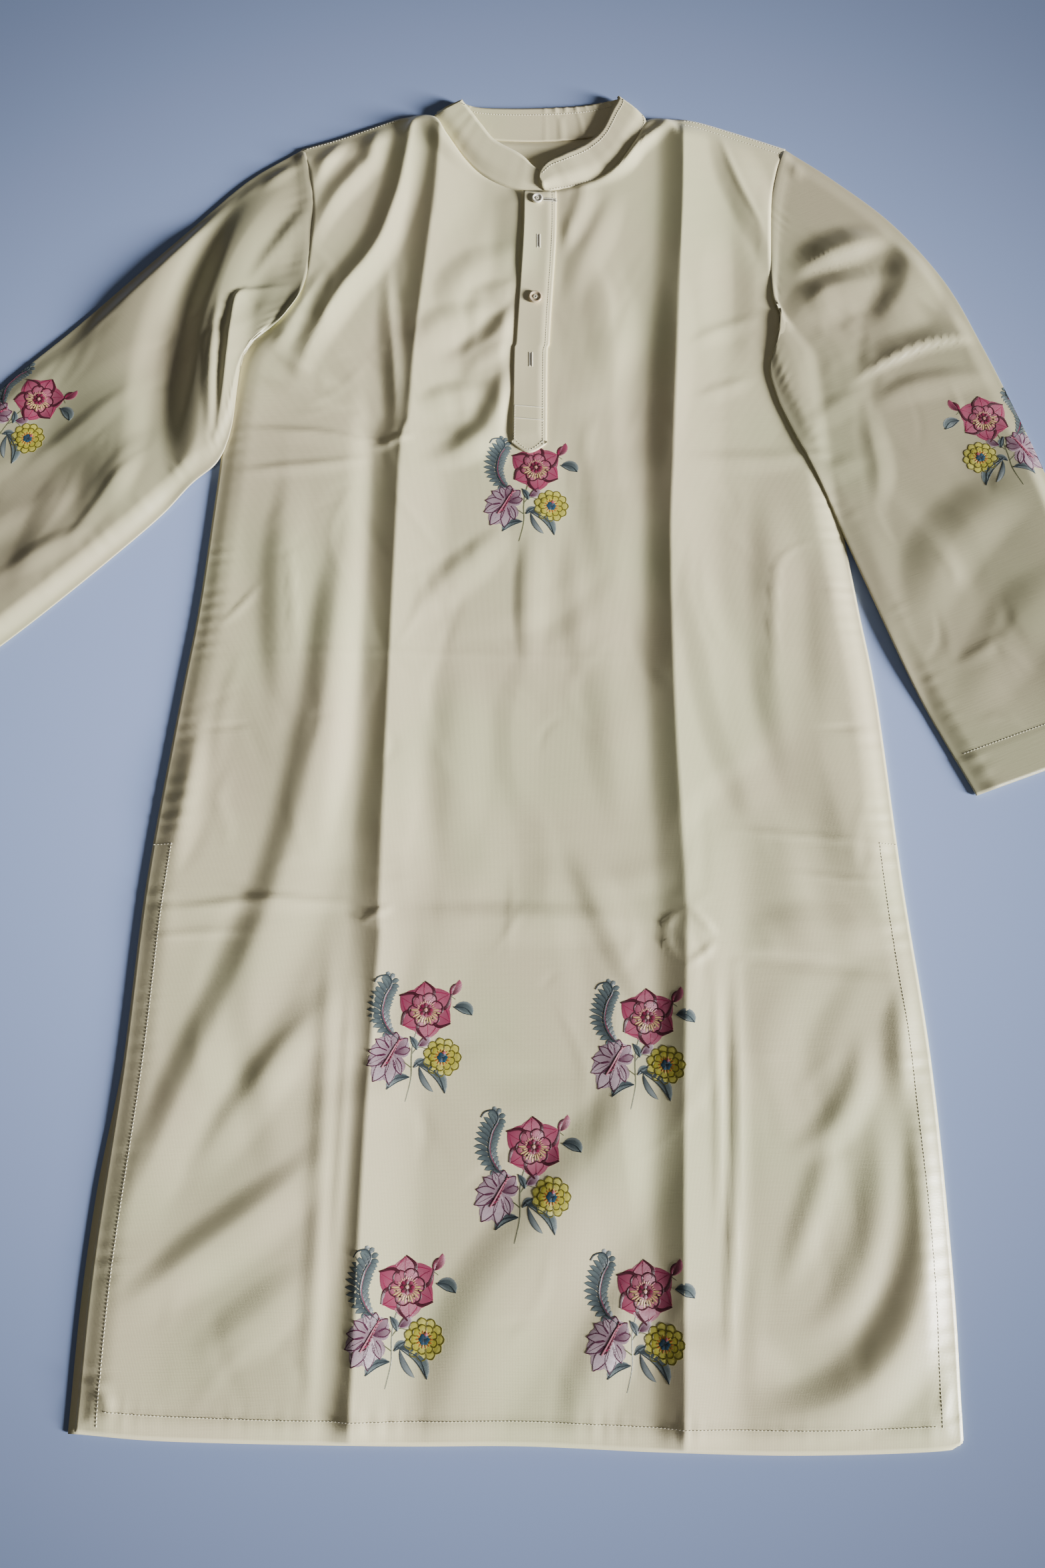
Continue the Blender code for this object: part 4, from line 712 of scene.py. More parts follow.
def sleeve_grid(edges, folds, small, side_edge, outward, pressed, seam_seed):
    """Flatten a sewn sleeve: an upper and a lower layer joined round both long edges."""
    edge_line = through(edges, 200)
    middle = 0.5 * (edge_line[:, 0:2] + edge_line[:, 2:4])
    travel = np.concatenate(([0.0], np.cumsum(np.linalg.norm(np.diff(middle, axis=0), axis=1))))
    length = travel[-1]
    stations = spaced([-SEAM_LAP, SEAM_LAP, 0.014, length - CUFF_DEPTH, length], SLEEVE_STEP)
    armhole_y = np.linspace(edges[0][1], edges[0][3], 120)
    armhole = np.column_stack((side_edge(armhole_y), armhole_y))
    bow = np.concatenate(([0.0], np.cumsum(np.linalg.norm(np.diff(armhole, axis=0), axis=1))))
    radius = 0.5 * SLEEVE_EDGE
    at = np.clip(stations, 0.0, length)
    ends = np.column_stack([np.interp(at, travel, c) for c in edge_line.T])
    outer, under = ends[:, None, 0:2], ends[:, None, 2:4]
    width = np.linalg.norm(under - outer, axis=2)
    across = (under - outer) / width[:, :, None]
    along = np.dstack((-across[:, :, 1], across[:, :, 0])) * outward
    bend = np.maximum(0.0, 1.0 - at / (ARMHOLE_BLEND * length))[:, None, None] ** 2
    lapped = np.minimum(stations, 0.0)[:, None]
    station = stations[:, None]

    def spot(share, shift):
        arc = np.dstack([np.interp(share * bow[-1], bow, c) for c in armhole.T])
        chord = armhole[0] + share[:, :, None] * (armhole[-1] - armhole[0])
        straight = outer + share[:, :, None] * (under - outer)
        return straight + bend * (arc - chord) + (shift * np.ones_like(share))[:, :, None] * along

    def climbed(x, y):
        inside = (side_edge(y) - x) * outward
        return smoothstep((inside + CLIMB_START) / CLIMB_RUN) * smoothstep((CLIMB_Y - y) / CLIMB_FADE)

    def ground(points):
        x, y = points[:, :, 0], points[:, :, 1]
        return climbed(x, y) * (FRONT_LEVEL + CLOTH + front_height(x, y, small=()) + SLEEVE_CLEAR)

    inset = radius / width
    steps = np.linspace(0.0, 1.0, SLEEVE_COLUMNS + 1)[None, :]
    upper_share = inset + (1.0 - 2 * inset) * steps
    upper = spot(upper_share, lapped)
    lap = SEAM_RISE * (1.0 - smoothstep(station / 0.007)) * smoothstep(
        np.minimum(upper_share, 1.0 - upper_share) * width / 0.012 + 0.12)
    lap *= 1.0 - 0.85 * smoothstep((CLIMB_Y - upper[:, :, 1]) / CLIMB_FADE)
    rim = smoothstep(np.minimum(upper_share, 1.0 - upper_share) * width / SLEEVE_FADE)
    cuff = HEM_RISE * smoothstep((station - length + CUFF_DEPTH) / MM)
    settled = smoothstep((station + SEAM_LAP) / SEAM_SETTLE)
    plump = AIR + folded(upper[:, :, 0], upper[:, :, 1], folds + small)
    eased = 1.0 - pressed * climbed(upper[:, :, 0], upper[:, :, 1])
    plump *= eased
    pull = eased * seam_puckers(station * np.ones_like(upper_share), (1.0 - upper_share) * width,
                                0.0135, 0.55 * MM, seam_seed, 0.012, 0.010)
    cap = seam_puckers(upper_share * width, station, 0.0105, 0.5 * MM, seam_seed + 1, 0.006, 0.006)
    upper_z = ground(upper) + SLEEVE_EDGE + lap + cuff
    upper_z += rim * settled * np.maximum(plump + pull, 0.0) + cap * rim
    steps = np.linspace(1.0, 0.0, SLEEVE_UNDER_COLUMNS + 1)[None, :]
    lower = spot(inset + (1.0 - 2 * inset) * steps, 0.15 * lapped)
    lower_z = ground(lower)
    turns = np.linspace(0.0, math.pi, 7)[None, 1:-1]
    mix = 0.5 * (1.0 + np.cos(turns))
    under_edge = spot(1.0 - inset * (1.0 - np.sin(turns)), lapped)
    under_z = mix * upper_z[:, -1:] + (1.0 - mix) * lower_z[:, :1]
    outer_edge = spot(inset * (1.0 - np.sin(turns)), lapped * (1.0 - 0.85 * mix))
    outer_z = mix * lower_z[:, -1:] + (1.0 - mix) * upper_z[:, :1]
    grid = np.hstack([np.dstack((flat, z)) for flat, z in (
        (upper, upper_z), (under_edge, under_z), (lower, lower_z), (outer_edge, outer_z))])
    return grid[:, ::-1] if outward < 0 else grid


right_sleeve_grid = sleeve_grid(RIGHT_SLEEVE_EDGES, RIGHT_SLEEVE_FOLDS, RIGHT_SLEEVE_SMALL,
                                left_side, outward=-1.0, pressed=0.1, seam_seed=31)
left_sleeve_grid = sleeve_grid(LEFT_SLEEVE_EDGES, LEFT_SLEEVE_FOLDS, LEFT_SLEEVE_SMALL,
                               right_side, outward=1.0, pressed=0.6, seam_seed=33)
# The sleeves' finishes are painted darker than the body's: painted shade standing in for the light falling
# off over the sleeves.
right_sleeve_cloth = cloth_finish("ivory_cloth_right_sleeve_painted_shade", turn=0.73, painted_shade_tone=0.57)
left_sleeve_cloth = cloth_finish("ivory_cloth_left_sleeve_painted_shade", turn=-0.35, painted_shade_tone=0.58)
right_sleeve = thin_cloth("sleeve_right_cloth", right_sleeve_grid, SLEEVE_CLOTH, right_sleeve_cloth,
                          closed=True)
left_sleeve = thin_cloth("sleeve_left_cloth", left_sleeve_grid, SLEEVE_CLOTH, left_sleeve_cloth,
                         closed=True)
for sleeve, node, area in ((right_sleeve, "sleeve_right", 0.200), (left_sleeve, "sleeve_left", 0.190)):
    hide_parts(node)
    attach(sleeve, "root")

# The placket: a neck opening faced with two strips of the same cloth, about 30 mm wide. The lower
# strip fills the slot, the upper one is folded double, stitched down its right side and across its
# pointed foot, and its left side stays free, standing a little open with the slot's shadow under it.
LAP_GAP = 0.5 * MM
PLACKET_TOP_Y = 0.5505
PLACKET_CLOTH = 0.9 * MM
PLACKET_LIFT = 1.5 * MM
SEWN_DROP = 0.95 * MM
PLACKET_STEP = 0.0026
PLACKET_COLUMNS = 16
PLACKET_POINT = 0.009
PLACKET_STITCH_INSET = 0.0036

placket_levels = spaced([PLACKET_BOTTOM_Y, SLOT_BOTTOM_Y, PLACKET_TOP_Y], PLACKET_STEP)
share = np.linspace(0.0, 1.0, PLACKET_COLUMNS + 1)
placket_x = placket_edge(placket_levels)[:, None] + PLACKET_WIDTH * share
placket_y = np.repeat(placket_levels[:, None], len(share), axis=1)
foot = 1.0 - smoothstep((placket_y - PLACKET_BOTTOM_Y) / 0.012)
placket_y = placket_y + foot * (np.abs(share - 0.5) * 2.0) ** 1.6 * PLACKET_POINT
open_lift = smoothstep((placket_y - SLOT_BOTTOM_Y) / 0.04) * smoothstep((0.575 - placket_y) / 0.05)
open_lift *= 0.35 + 0.75 * smoothstep((placket_y - 0.45) / 0.03)
open_share = np.clip(1.0 - share / 0.55, 0.0, 1.0) ** 1.5
closed_foot = smoothstep((PLACKET_BOTTOM_Y + 0.020 - placket_y) / 0.014)
sewn = np.maximum(smoothstep((share - 0.74) / 0.20), closed_foot)
ripple = 0.18 * MM * np.sin(placket_y / 0.0135 + 3.0 * share) * np.sin(placket_y / 0.031 + 1.0)
placket_z = (FRONT_LEVEL + 2 * CLOTH + LAP_GAP + front_height(placket_x, placket_y, swell=0.0)
             + PLACKET_LIFT * open_lift * open_share - SEWN_DROP * sewn + ripple * (1.0 - sewn))
placket_grid = np.dstack((placket_x, placket_y, placket_z))
placket_cloth = cloth_finish("ivory_cloth_placket")
placket = thin_cloth("placket_cloth", placket_grid, PLACKET_CLOTH, placket_cloth)

under_levels = spaced([SLOT_BOTTOM_Y + LAP_GAP, PLACKET_TOP_Y], 0.005)
under_x = (placket_edge(under_levels) + SLOT_INSET + LAP_GAP)[:, None] + (
    SLOT_WIDTH - 2 * LAP_GAP) * np.linspace(0.0, 1.0, 9)
under_y = np.repeat(under_levels[:, None], 9, axis=1)
under_z = FRONT_LEVEL + CLOTH + front_height(under_x, under_y, swell=0.0)
under_grid = np.dstack((under_x, under_y, under_z))
underlap = thin_cloth("placket_under_cloth", under_grid, FRONT_CLOTH, placket_cloth)
for strip, node, cut in ((placket, "placket_overlap", (0.030, 0.262)),
                         (underlap, "placket_underlap", (0.020, 0.215))):
    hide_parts(node)
    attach(strip, "root")

# The collar: a soft stand band about 35 mm high, cut double and sewn to the neck, lying folded flat
# at both sides of it. Its back shows the inner face, gathered by the topstitching under its edge,
# and its end on top is rounded and laps over the other one.
COLLAR_TUCKED_RUN = (
    (0.026, 0.5530, 0.022, 0.567), (0.010, 0.5535, 0.010, 0.577), (-0.011, 0.5550, -0.002, 0.590),
    (-0.036, 0.5680, -0.025, 0.605), (-0.053, 0.5850, -0.037, 0.621),
    (-0.071, 0.6130, -0.049, 0.639), (-0.082, 0.6290, -0.055, 0.647),
    (-0.079, 0.6375, -0.056, 0.650),
)
COLLAR_BACK_RUN = (
    (-0.079, 0.6375, -0.056, 0.650), (-0.062, 0.6215, -0.044, 0.6455),
    (-0.035, 0.6110, -0.025, 0.6440), (0.010, 0.6080, 0.012, 0.6440),
    (0.055, 0.6110, 0.050, 0.6460), (0.090, 0.6200, 0.073, 0.6500), (0.110, 0.6360, 0.089, 0.6540),
)
COLLAR_TOP_RUN = (
    (0.110, 0.6360, 0.089, 0.6540), (0.114, 0.6260, 0.088, 0.6500), (0.105, 0.6080, 0.083, 0.6400),
    (0.093, 0.5880, 0.072, 0.6160), (0.078, 0.5700, 0.056, 0.6010), (0.052, 0.5580, 0.035, 0.5880),
    (0.036, 0.5545, 0.024, 0.5820), (0.026, 0.5530, 0.0165, 0.5720), (0.0185, 0.5535, 0.0150, 0.5610),
)
COLLAR_FOLD_RADIUS = 2.1 * MM
COLLAR_CLIMB = 1.9 * MM
COLLAR_CLOTH = 1.1 * MM
COLLAR_ROW_STEP = 0.0014
COLLAR_COLUMNS = 20
COLLAR_FOLDS_OUT = ((-0.5, 0.866), (0.6, 0.8))


def collar_run(table):
    """Sample one run of the band: points on its seam and on its top edge."""
    line = through(table, 200)
    length = np.linalg.norm(np.diff(line[:, 2:4], axis=0), axis=1).sum()
    return through(table, 2 * int(0.5 * length / COLLAR_ROW_STEP) + 1)


def collar_turn(end, outward, high, low):
    """Turn the band over round a half circle, from its high layer to its low one."""
    turns = np.linspace(0.0, math.pi, 9)
    inset = COLLAR_FOLD_RADIUS * (1.0 - np.sin(turns))
    level = 0.5 * (high + low) + 0.5 * (high - low) * np.cos(turns)
    seam = end[0:2] - inset[:, None] * np.array(outward)
    top = end[2:4] - inset[:, None] * np.array(outward)
    return np.hstack((seam, top, level[:, None]))


low = FRONT_LEVEL
high = low + 2 * COLLAR_FOLD_RADIUS
tucked, back, over = (collar_run(table) for table in (COLLAR_TUCKED_RUN, COLLAR_BACK_RUN,
                                                      COLLAR_TOP_RUN))
over_share = np.linspace(0.0, 1.0, len(over))
climb = high + COLLAR_CLIMB * smoothstep((over_share - 0.54) / 0.23)
strip = np.vstack((
    np.column_stack((tucked[:-1], np.full(len(tucked) - 1, high))),
    collar_turn(tucked[-1], COLLAR_FOLDS_OUT[0], high, low),
    np.column_stack((back[1:-1], np.full(len(back) - 2, low))),
    collar_turn(over[0], COLLAR_FOLDS_OUT[1], high, low)[::-1],
    np.column_stack((over[1:], climb[1:])),
))
strip = strip[:len(strip) - (len(strip) + 1) % 2]
across = np.linspace(0.0, 1.0, COLLAR_COLUMNS + 1)
collar_xy = strip[:, None, 0:2] + (strip[:, 2:4] - strip[:, 0:2])[:, None, :] * across[:, None]
run_start = len(tucked) - 1 + 9
on_back = np.zeros(len(strip))
on_back[run_start:run_start + len(back) - 2] = 1.0
on_back = np.convolve(on_back, np.ones(7) / 7.0, mode="same")
travel = np.arange(len(strip)) * COLLAR_ROW_STEP
gather = puckers(travel, 0.0085, 1.0, 41)[:, None]
pull = puckers(travel, 0.0130, 1.0, 42)[:, None]
near_top = np.exp(-((across - 0.90) / 0.16) ** 2)
wave = on_back[:, None] * (1.1 * MM * gather * near_top + 0.9 * MM * pull * (1.0 - across) ** 0.5)
wave += (1.0 - on_back)[:, None] * 0.16 * MM * pull
stitched = np.exp(-((across - 0.80) / 0.035) ** 2) * on_back[:, None]
seam_drop = (1.0 - smoothstep(across / 0.42)) * (1.0 - on_back)[:, None]
seam_level = low + CLOTH + 0.3 * MM
collar_z = strip[:, 4:5] + seam_drop * (seam_level - strip[:, 4:5]) + wave - 0.45 * MM * stitched
collar_grid = np.dstack((collar_xy, np.maximum(collar_z, low + 0.1 * MM)))
collar_cloth = cloth_finish("ivory_cloth_collar", turn=0.5)
collar = thin_cloth("collar_cloth", collar_grid[:, ::-1], COLLAR_CLOTH, collar_cloth)
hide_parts("collar_band")
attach(collar, "root")

# The buttons: two small four-hole buttons of pale horn-like plastic, turned with a raised rim and
# sewn through the placket, a 10 mm off-white one at the neck and a 12 mm beige one at the chest.
BUTTON_THICK = 2.4 * MM
BUTTON_SHANK = 0.1 * MM
BUTTON_HOLE = 1.3 * MM
BUTTON_HOLE_RING = 0.29
BUTTON_SEGMENTS = 48
THREAD_RADIUS = 0.22 * MM
THREAD_SIDES = 6
# from the face's middle round the rim to the foot: share of the radius, share of the thickness
BUTTON_PROFILE = ((0.30, 0.60), (0.56, 0.64), (0.66, 0.78), (0.73, 0.93), (0.80, 1.0), (0.88, 0.98),
                  (0.95, 0.90), (1.0, 0.72), (1.0, 0.42), (0.95, 0.20), (0.80, 0.03), (0.60, 0.0))
# node, diameter, colour, colour of its streaks
BUTTONS = (
    ("button_neck", 0.0098, (0.70, 0.66, 0.55), (0.80, 0.77, 0.68)),
    ("button_chest", 0.0120, (0.47, 0.36, 0.22), (0.66, 0.56, 0.40)),
)


def horn_finish(name, colour, streak):
    """Pale moulded plastic with cloudy streaks, like horn, and a soft polish."""
    material, tree, shader = new_material(name, Roughness=0.28, Specular_IOR_Level=0.5)
    place = added(tree, "ShaderNodeTexCoord")
    stretch = added(tree, "ShaderNodeMapping", Scale=(160.0, 420.0, 160.0), Rotation=(0.0, 0.0, 0.6))
    cloud = added(tree, "ShaderNodeTexNoise", Scale=1.0, Detail=4.0)
    blend = ramp(tree, (0.38, colour), (0.66, streak))
    wire(place, "Object", stretch, "Vector")
    wire(stretch, "Vector", cloud, "Vector")
    wire(cloud, "Fac", blend, "Fac")
    wire(blend, "Color", shader, "Base Color")
    return material


def thread_finish(name, colour):
    """Twisted sewing thread: a fine diagonal ply on its own colour."""
    material, tree, shader = new_material(name, Roughness=0.42, Sheen_Weight=0.2)
    place = added(tree, "ShaderNodeTexCoord")
    ply = added(tree, "ShaderNodeTexWave", Scale=900.0)
    ply.bands_direction = "DIAGONAL"
    shade = ramp(tree, (0.0, [0.82 * part for part in colour]), (1.0, colour))
    wire(place, "Object", ply, "Vector")
    wire(ply, "Fac", shade, "Fac")
    wire(shade, "Color", shader, "Base Color")
    return material


ivory_thread = thread_finish("ivory_thread", (0.78, 0.75, 0.60))


def applied(piece):
    """Turn a piece and its modifiers into one plain mesh."""
    bpy.context.view_layer.update()
    ready = piece.evaluated_get(bpy.context.evaluated_depsgraph_get())
    mesh = bpy.data.meshes.new_from_object(ready)
    piece.modifiers.clear()
    piece.data = mesh
    return mesh


def tube(points, radius):
    """Make a closed round thread through a few points, as vertices and faces."""
    line = through(points, 3 * len(points) + 3)
    vertices = []
    heading = np.gradient(line, axis=0)
    for centre, ahead in zip(line, heading):
        ahead = Vector(ahead).normalized()
        side = ahead.orthogonal().normalized()
        lift = ahead.cross(side)
        for k in range(THREAD_SIDES):
            turn = 2 * math.pi * k / THREAD_SIDES
            vertices.append(Vector(centre) + radius * (math.cos(turn) * side + math.sin(turn) * lift))
    faces = [tuple(range(THREAD_SIDES))[::-1], tuple(range(len(vertices) - THREAD_SIDES, len(vertices)))]
    for ring in range(len(line) - 1):
        for k in range(THREAD_SIDES):
            a = ring * THREAD_SIDES + k
            b = ring * THREAD_SIDES + (k + 1) % THREAD_SIDES
            faces.append((a, b, b + THREAD_SIDES, a + THREAD_SIDES))
    return vertices, faces


for node, diameter, colour, streak in BUTTONS:
    low_corner, high_corner = (np.array(corner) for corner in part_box(node))
    middle = 0.5 * (low_corner + high_corner)
    radius = 0.5 * diameter
    seat = np.hypot(placket_x + PLACE_SHIFT[0] - middle[0], placket_y + PLACE_SHIFT[1] - middle[1])
    bed = placket_z[seat < radius].max() + BUTTON_SHANK
    turned = bmesh.new()
    rings = []
    for reach, level in BUTTON_PROFILE:
        rings.append([turned.verts.new((middle[0] + reach * radius * math.cos(turn),
                                        middle[1] + reach * radius * math.sin(turn),
                                        bed + level * BUTTON_THICK))
                      for turn in np.linspace(0, 2 * math.pi, BUTTON_SEGMENTS, endpoint=False)])
    for upper, lower in zip(rings[:-1], rings[1:]):
        for k in range(BUTTON_SEGMENTS):
            after = (k + 1) % BUTTON_SEGMENTS
            turned.faces.new((upper[k], lower[k], lower[after], upper[after]))
    turned.faces.new(rings[0])
    turned.faces.new(rings[-1][::-1])
    bmesh.ops.recalc_face_normals(turned, faces=turned.faces)
    button_mesh = bpy.data.meshes.new(node + "_turned")
    turned.to_mesh(button_mesh)
    turned.free()
    button = put(node + "_turned", button_mesh)
    holes = []
    drills = []
    ring = BUTTON_HOLE_RING * radius
    for k in range(4):
        angle = math.radians(45 + 90 * k)
        holes.append((middle[0] + ring * math.cos(angle), middle[1] + ring * math.sin(angle)))
        bpy.ops.mesh.primitive_cylinder_add(vertices=16, radius=0.5 * BUTTON_HOLE, depth=0.02,
                                            location=(*holes[-1], bed))
        drills.append(bpy.context.object)
        bite = button.modifiers.new("Hole", "BOOLEAN")
        bite.operation = "DIFFERENCE"
        bite.solver = "EXACT"
        bite.object = drills[-1]
    drilled = applied(button)
    for drill in drills:
        bpy.data.objects.remove(drill, do_unlink=True)
    drilled.shade_smooth()
    edge_split = button.modifiers.new("Edges", "EDGE_SPLIT")
    edge_split.split_angle = math.radians(50)
    drilled.materials.clear()
    drilled.materials.append(horn_finish(node + "_horn", colour, streak))
    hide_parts(node)
    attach(button, "root")

    loops = bpy.data.meshes.new(node + "_thread")
    vertices, faces = [], []
    top = bed + 0.64 * BUTTON_THICK
    for start, end in ((0, 1), (3, 2), (0, 3), (1, 2)):
        for shift in (-0.5, 0.5):
            run = np.array(holes[end]) - np.array(holes[start])
            side = shift * 0.42 * MM * np.array((-run[1], run[0])) / np.linalg.norm(run)
            a = np.append(np.array(holes[start]) + side, bed + 0.2 * MM)
            d = np.append(np.array(holes[end]) + side, bed + 0.2 * MM)
            b = a * (1, 1, 0) + np.array((*(0.12 * run), top + 0.15 * MM))
            c = d * (1, 1, 0) + np.array((*(-0.12 * run), top + 0.15 * MM))
            new_vertices, new_faces = tube((a, b, 0.5 * (b + c) + (0, 0, 0.1 * MM), c, d), THREAD_RADIUS)
            faces += [tuple(len(vertices) + v for v in face) for face in new_faces]
            vertices += new_vertices
    loops.from_pydata([tuple(v) for v in vertices], [], faces)
    loops.shade_smooth()
    loops.materials.append(ivory_thread)
    threads = put(node + "_thread", loops)
    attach(threads, "root")

# The topstitching: lockstitch in ivory thread along the hem, the vents, the cuffs, the shoulders, the collar
# and the placket, and closer stitches round each buttonhole.
STITCH_PITCH = 2.7 * MM
STITCH_LENGTH = 2.1 * MM
STITCH_RADIUS = 0.30 * MM
PURL_PITCH = 0.55 * MM
PURL_LENGTH = 1.5 * MM


def surface_of(piece):
    """Put a piece in a search tree for finding the cloth under a point."""
    return BVHTree.FromPolygons([v.co.copy() for v in piece.data.vertices],
                                [list(polygon.vertices) for polygon in piece.data.polygons])


def draped(surface, points, lift):
    """Drop points in garment coordinates onto the cloth below them, or onto its nearest edge."""
    dropped = []
    for x, y in points:
        start = Vector((x + PLACE_SHIFT[0], y + PLACE_SHIFT[1], 0.2))
        place = surface.ray_cast(start, Vector((0.0, 0.0, -1.0)))[0]
        if place is None:
            start.z = 2 * SLEEVE_EDGE
            place = surface.find_nearest(start)[0]
        dropped.append(place + Vector((0.0, 0.0, lift)))
    return dropped


def stitch_tree():
    """Build the stitching: one thread lump at every step along a line, lying along it."""
    tree = bpy.data.node_groups.new("Stitching", "GeometryNodeTree")
    for socket, kind in (("Line", "Geometry"), ("Pitch", "Float"), ("Length", "Float"),
                         ("Radius", "Float"), ("Turn", "Float"), ("Thread", "Material")):
        tree.interface.new_socket(socket, in_out="INPUT", socket_type="NodeSocket" + kind)
    tree.interface.new_socket("Stitches", in_out="OUTPUT", socket_type="NodeSocketGeometry")
    entry = added(tree, "NodeGroupInput")
    leave = added(tree, "NodeGroupOutput")
    path = added(tree, "GeometryNodeMeshToCurve")
    even = added(tree, "GeometryNodeResampleCurve")
    even.mode = "LENGTH"
    along = added(tree, "GeometryNodeInputTangent")
    point = added(tree, "FunctionNodeAlignRotationToVector")
    point.axis = "X"
    turned = added(tree, "FunctionNodeRotateRotation")
    turned.rotation_space = "LOCAL"
    spin = added(tree, "ShaderNodeCombineXYZ")
    rotation = added(tree, "FunctionNodeEulerToRotation")
    lump = added(tree, "GeometryNodeMeshUVSphere", Segments=6, Rings=5, Radius=0.5)
    size = added(tree, "ShaderNodeCombineXYZ")
    double = added(tree, "ShaderNodeMath")
    double.operation = "MULTIPLY"
    double.inputs[1].default_value = 2.0
    place = added(tree, "GeometryNodeInstanceOnPoints")
    real = added(tree, "GeometryNodeRealizeInstances")
    smooth = added(tree, "GeometryNodeSetShadeSmooth")
    dyed = added(tree, "GeometryNodeSetMaterial")
    for link in ((entry, "Line", path, "Mesh"), (path, "Curve", even, "Curve"),
                 (entry, "Pitch", even, "Length"), (even, "Curve", place, "Points"),
                 (along, "Tangent", point, "Vector"), (entry, "Turn", spin, "Z"),
                 (spin, "Vector", rotation, "Euler"), (point, "Rotation", turned, "Rotation"),
                 (rotation, "Rotation", turned, "Rotate By"), (turned, "Rotation", place, "Rotation"),
                 (lump, "Mesh", place, "Instance"), (entry, "Radius", double, 0),
                 (entry, "Length", size, "X"), (double, 0, size, "Y"), (double, 0, size, "Z"),
                 (size, "Vector", place, "Scale"), (place, "Instances", real, "Geometry"),
                 (real, "Geometry", smooth, "Geometry"), (smooth, "Geometry", dyed, "Geometry"),
                 (entry, "Thread", dyed, "Material"), (dyed, "Geometry", leave, "Stitches")):
        wire(*link)
    return tree


stitching = stitch_tree()


def stitch(name, surface, paths, pitch=STITCH_PITCH, length=STITCH_LENGTH, radius=STITCH_RADIUS,
           turn=0.0, thread=None):
    """Sew along paths on the cloth and keep the stitches as one plain mesh."""
    vertices, edges = [], []
    for path in paths:
        span = np.linalg.norm(np.diff(np.asarray(path, dtype=float), axis=0), axis=1).sum()
        drop = draped(surface, through(path, max(4, int(span / 0.0012))), 0.4 * radius)
        edges += [(len(vertices) + k, len(vertices) + k + 1) for k in range(len(drop) - 1)]
        vertices += drop
    guide = bpy.data.meshes.new(name + "_line")
    guide.from_pydata(vertices, edges, [])
    sewn = put(name, guide)
    run = sewn.modifiers.new("Stitching", "NODES")
    run.node_group = stitching
    values = {"Pitch": pitch, "Length": length, "Radius": radius, "Turn": turn,
              "Thread": thread or ivory_thread}
    for item in stitching.interface.items_tree:
        if item.name in values:
            run[item.identifier] = values[item.name]
    applied(sewn)
    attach(sewn, "root")


front_surface, placket_surface, collar_surface, right_sleeve_surface, left_sleeve_surface = (
    surface_of(piece) for piece in (front_panel, placket, collar, right_sleeve, left_sleeve))

hem_x = np.linspace(-0.298, 0.294, 60)
hem_line = np.column_stack((hem_x, hem_edge(hem_x) + HEM_DEPTH - 0.0025))
vent_y = np.linspace(HEM_Y + 0.012, VENT_TOP_Y, 50)
vents = [np.column_stack((side(vent_y) + inset, vent_y))
         for side, inset in ((left_side, 0.0155), (right_side, -0.0150))]
bars = [np.column_stack((side(VENT_TOP_Y) + hand * np.linspace(0.001, inset, 4), np.full(4, VENT_TOP_Y)))
        for side, hand, inset in ((left_side, 1.0, 0.0155), (right_side, -1.0, 0.0150))]
shoulders = []
for start, end, inset in ((0.150, 0.236, 0.0016), (0.150, 0.236, 0.0085), (-0.198, -0.115, 0.0016)):
    shoulder_x = np.linspace(start, end, 20)
    shoulders.append(np.column_stack((shoulder_x, front_top(shoulder_x) - inset)))
stitch("stitches_front", front_surface, [hem_line, *vents, *bars, *shoulders])

placket_line_y = np.linspace(PLACKET_BOTTOM_Y + 0.008, PLACKET_TOP_Y - 0.002, 40)
placket_right = np.column_stack((placket_edge(placket_line_y) + PLACKET_WIDTH - PLACKET_STITCH_INSET,
                                 placket_line_y))
foot_left_y = np.linspace(PLACKET_BOTTOM_Y + 0.010, SLOT_BOTTOM_Y - 0.002, 12)
placket_left = np.column_stack((placket_edge(foot_left_y) + 0.002, foot_left_y))
foot_x = placket_edge(0.30) + np.linspace(0.003, PLACKET_WIDTH - 0.003, 12)
foot_line = np.column_stack((
    foot_x, PLACKET_BOTTOM_Y + 0.003 + (np.abs(np.linspace(-1, 1, 12))) ** 1.6 * PLACKET_POINT))
cross_lines = [np.array(((placket_edge(y) + 0.002, y), (placket_edge(y) + 0.014, y - 0.001),
                         (placket_edge(y) + 0.0265, y - 0.002))) for y in (0.3345, 0.3225)]
stitch("stitches_placket", placket_surface, [placket_right, placket_left, foot_line],
       pitch=2.5 * MM, length=1.9 * MM, radius=0.30 * MM)
stitch("stitches_placket_bars", placket_surface, cross_lines, pitch=1.0 * MM, length=1.3 * MM,
       radius=0.42 * MM)

collar_rows = collar_xy[:, [3 * COLLAR_COLUMNS // 4 + 1]][:, 0]
back_rows = slice(run_start + 4, run_start + len(back) - 8)
over_rows = slice(run_start + len(back) + 9, len(strip) - 4)
seam_rows = collar_xy[:, 1]
stitch("stitches_collar", collar_surface,
       [collar_rows[back_rows][::5], seam_rows[over_rows][::5], collar_rows[over_rows][::5]],
       pitch=2.6 * MM, length=2.0 * MM, radius=0.32 * MM)

for edges, name, surface in ((RIGHT_SLEEVE_EDGES, "right", right_sleeve_surface),
                             (LEFT_SLEEVE_EDGES, "left", left_sleeve_surface)):
    outer_end, under_end = np.array(edges[-1][0:2]), np.array(edges[-1][2:4])
    outer_near, under_near = np.array(edges[-2][0:2]), np.array(edges[-2][2:4])
    back_along = 0.5 * (outer_near + under_near) - 0.5 * (outer_end + under_end)
    back_along *= CUFF_DEPTH / np.linalg.norm(back_along)
    share = np.linspace(0.03, 0.97, 14)[:, None]
    cuff_line = outer_end + share * (under_end - outer_end) + back_along
    stitch(f"stitches_cuff_{name}", surface, [cuff_line])

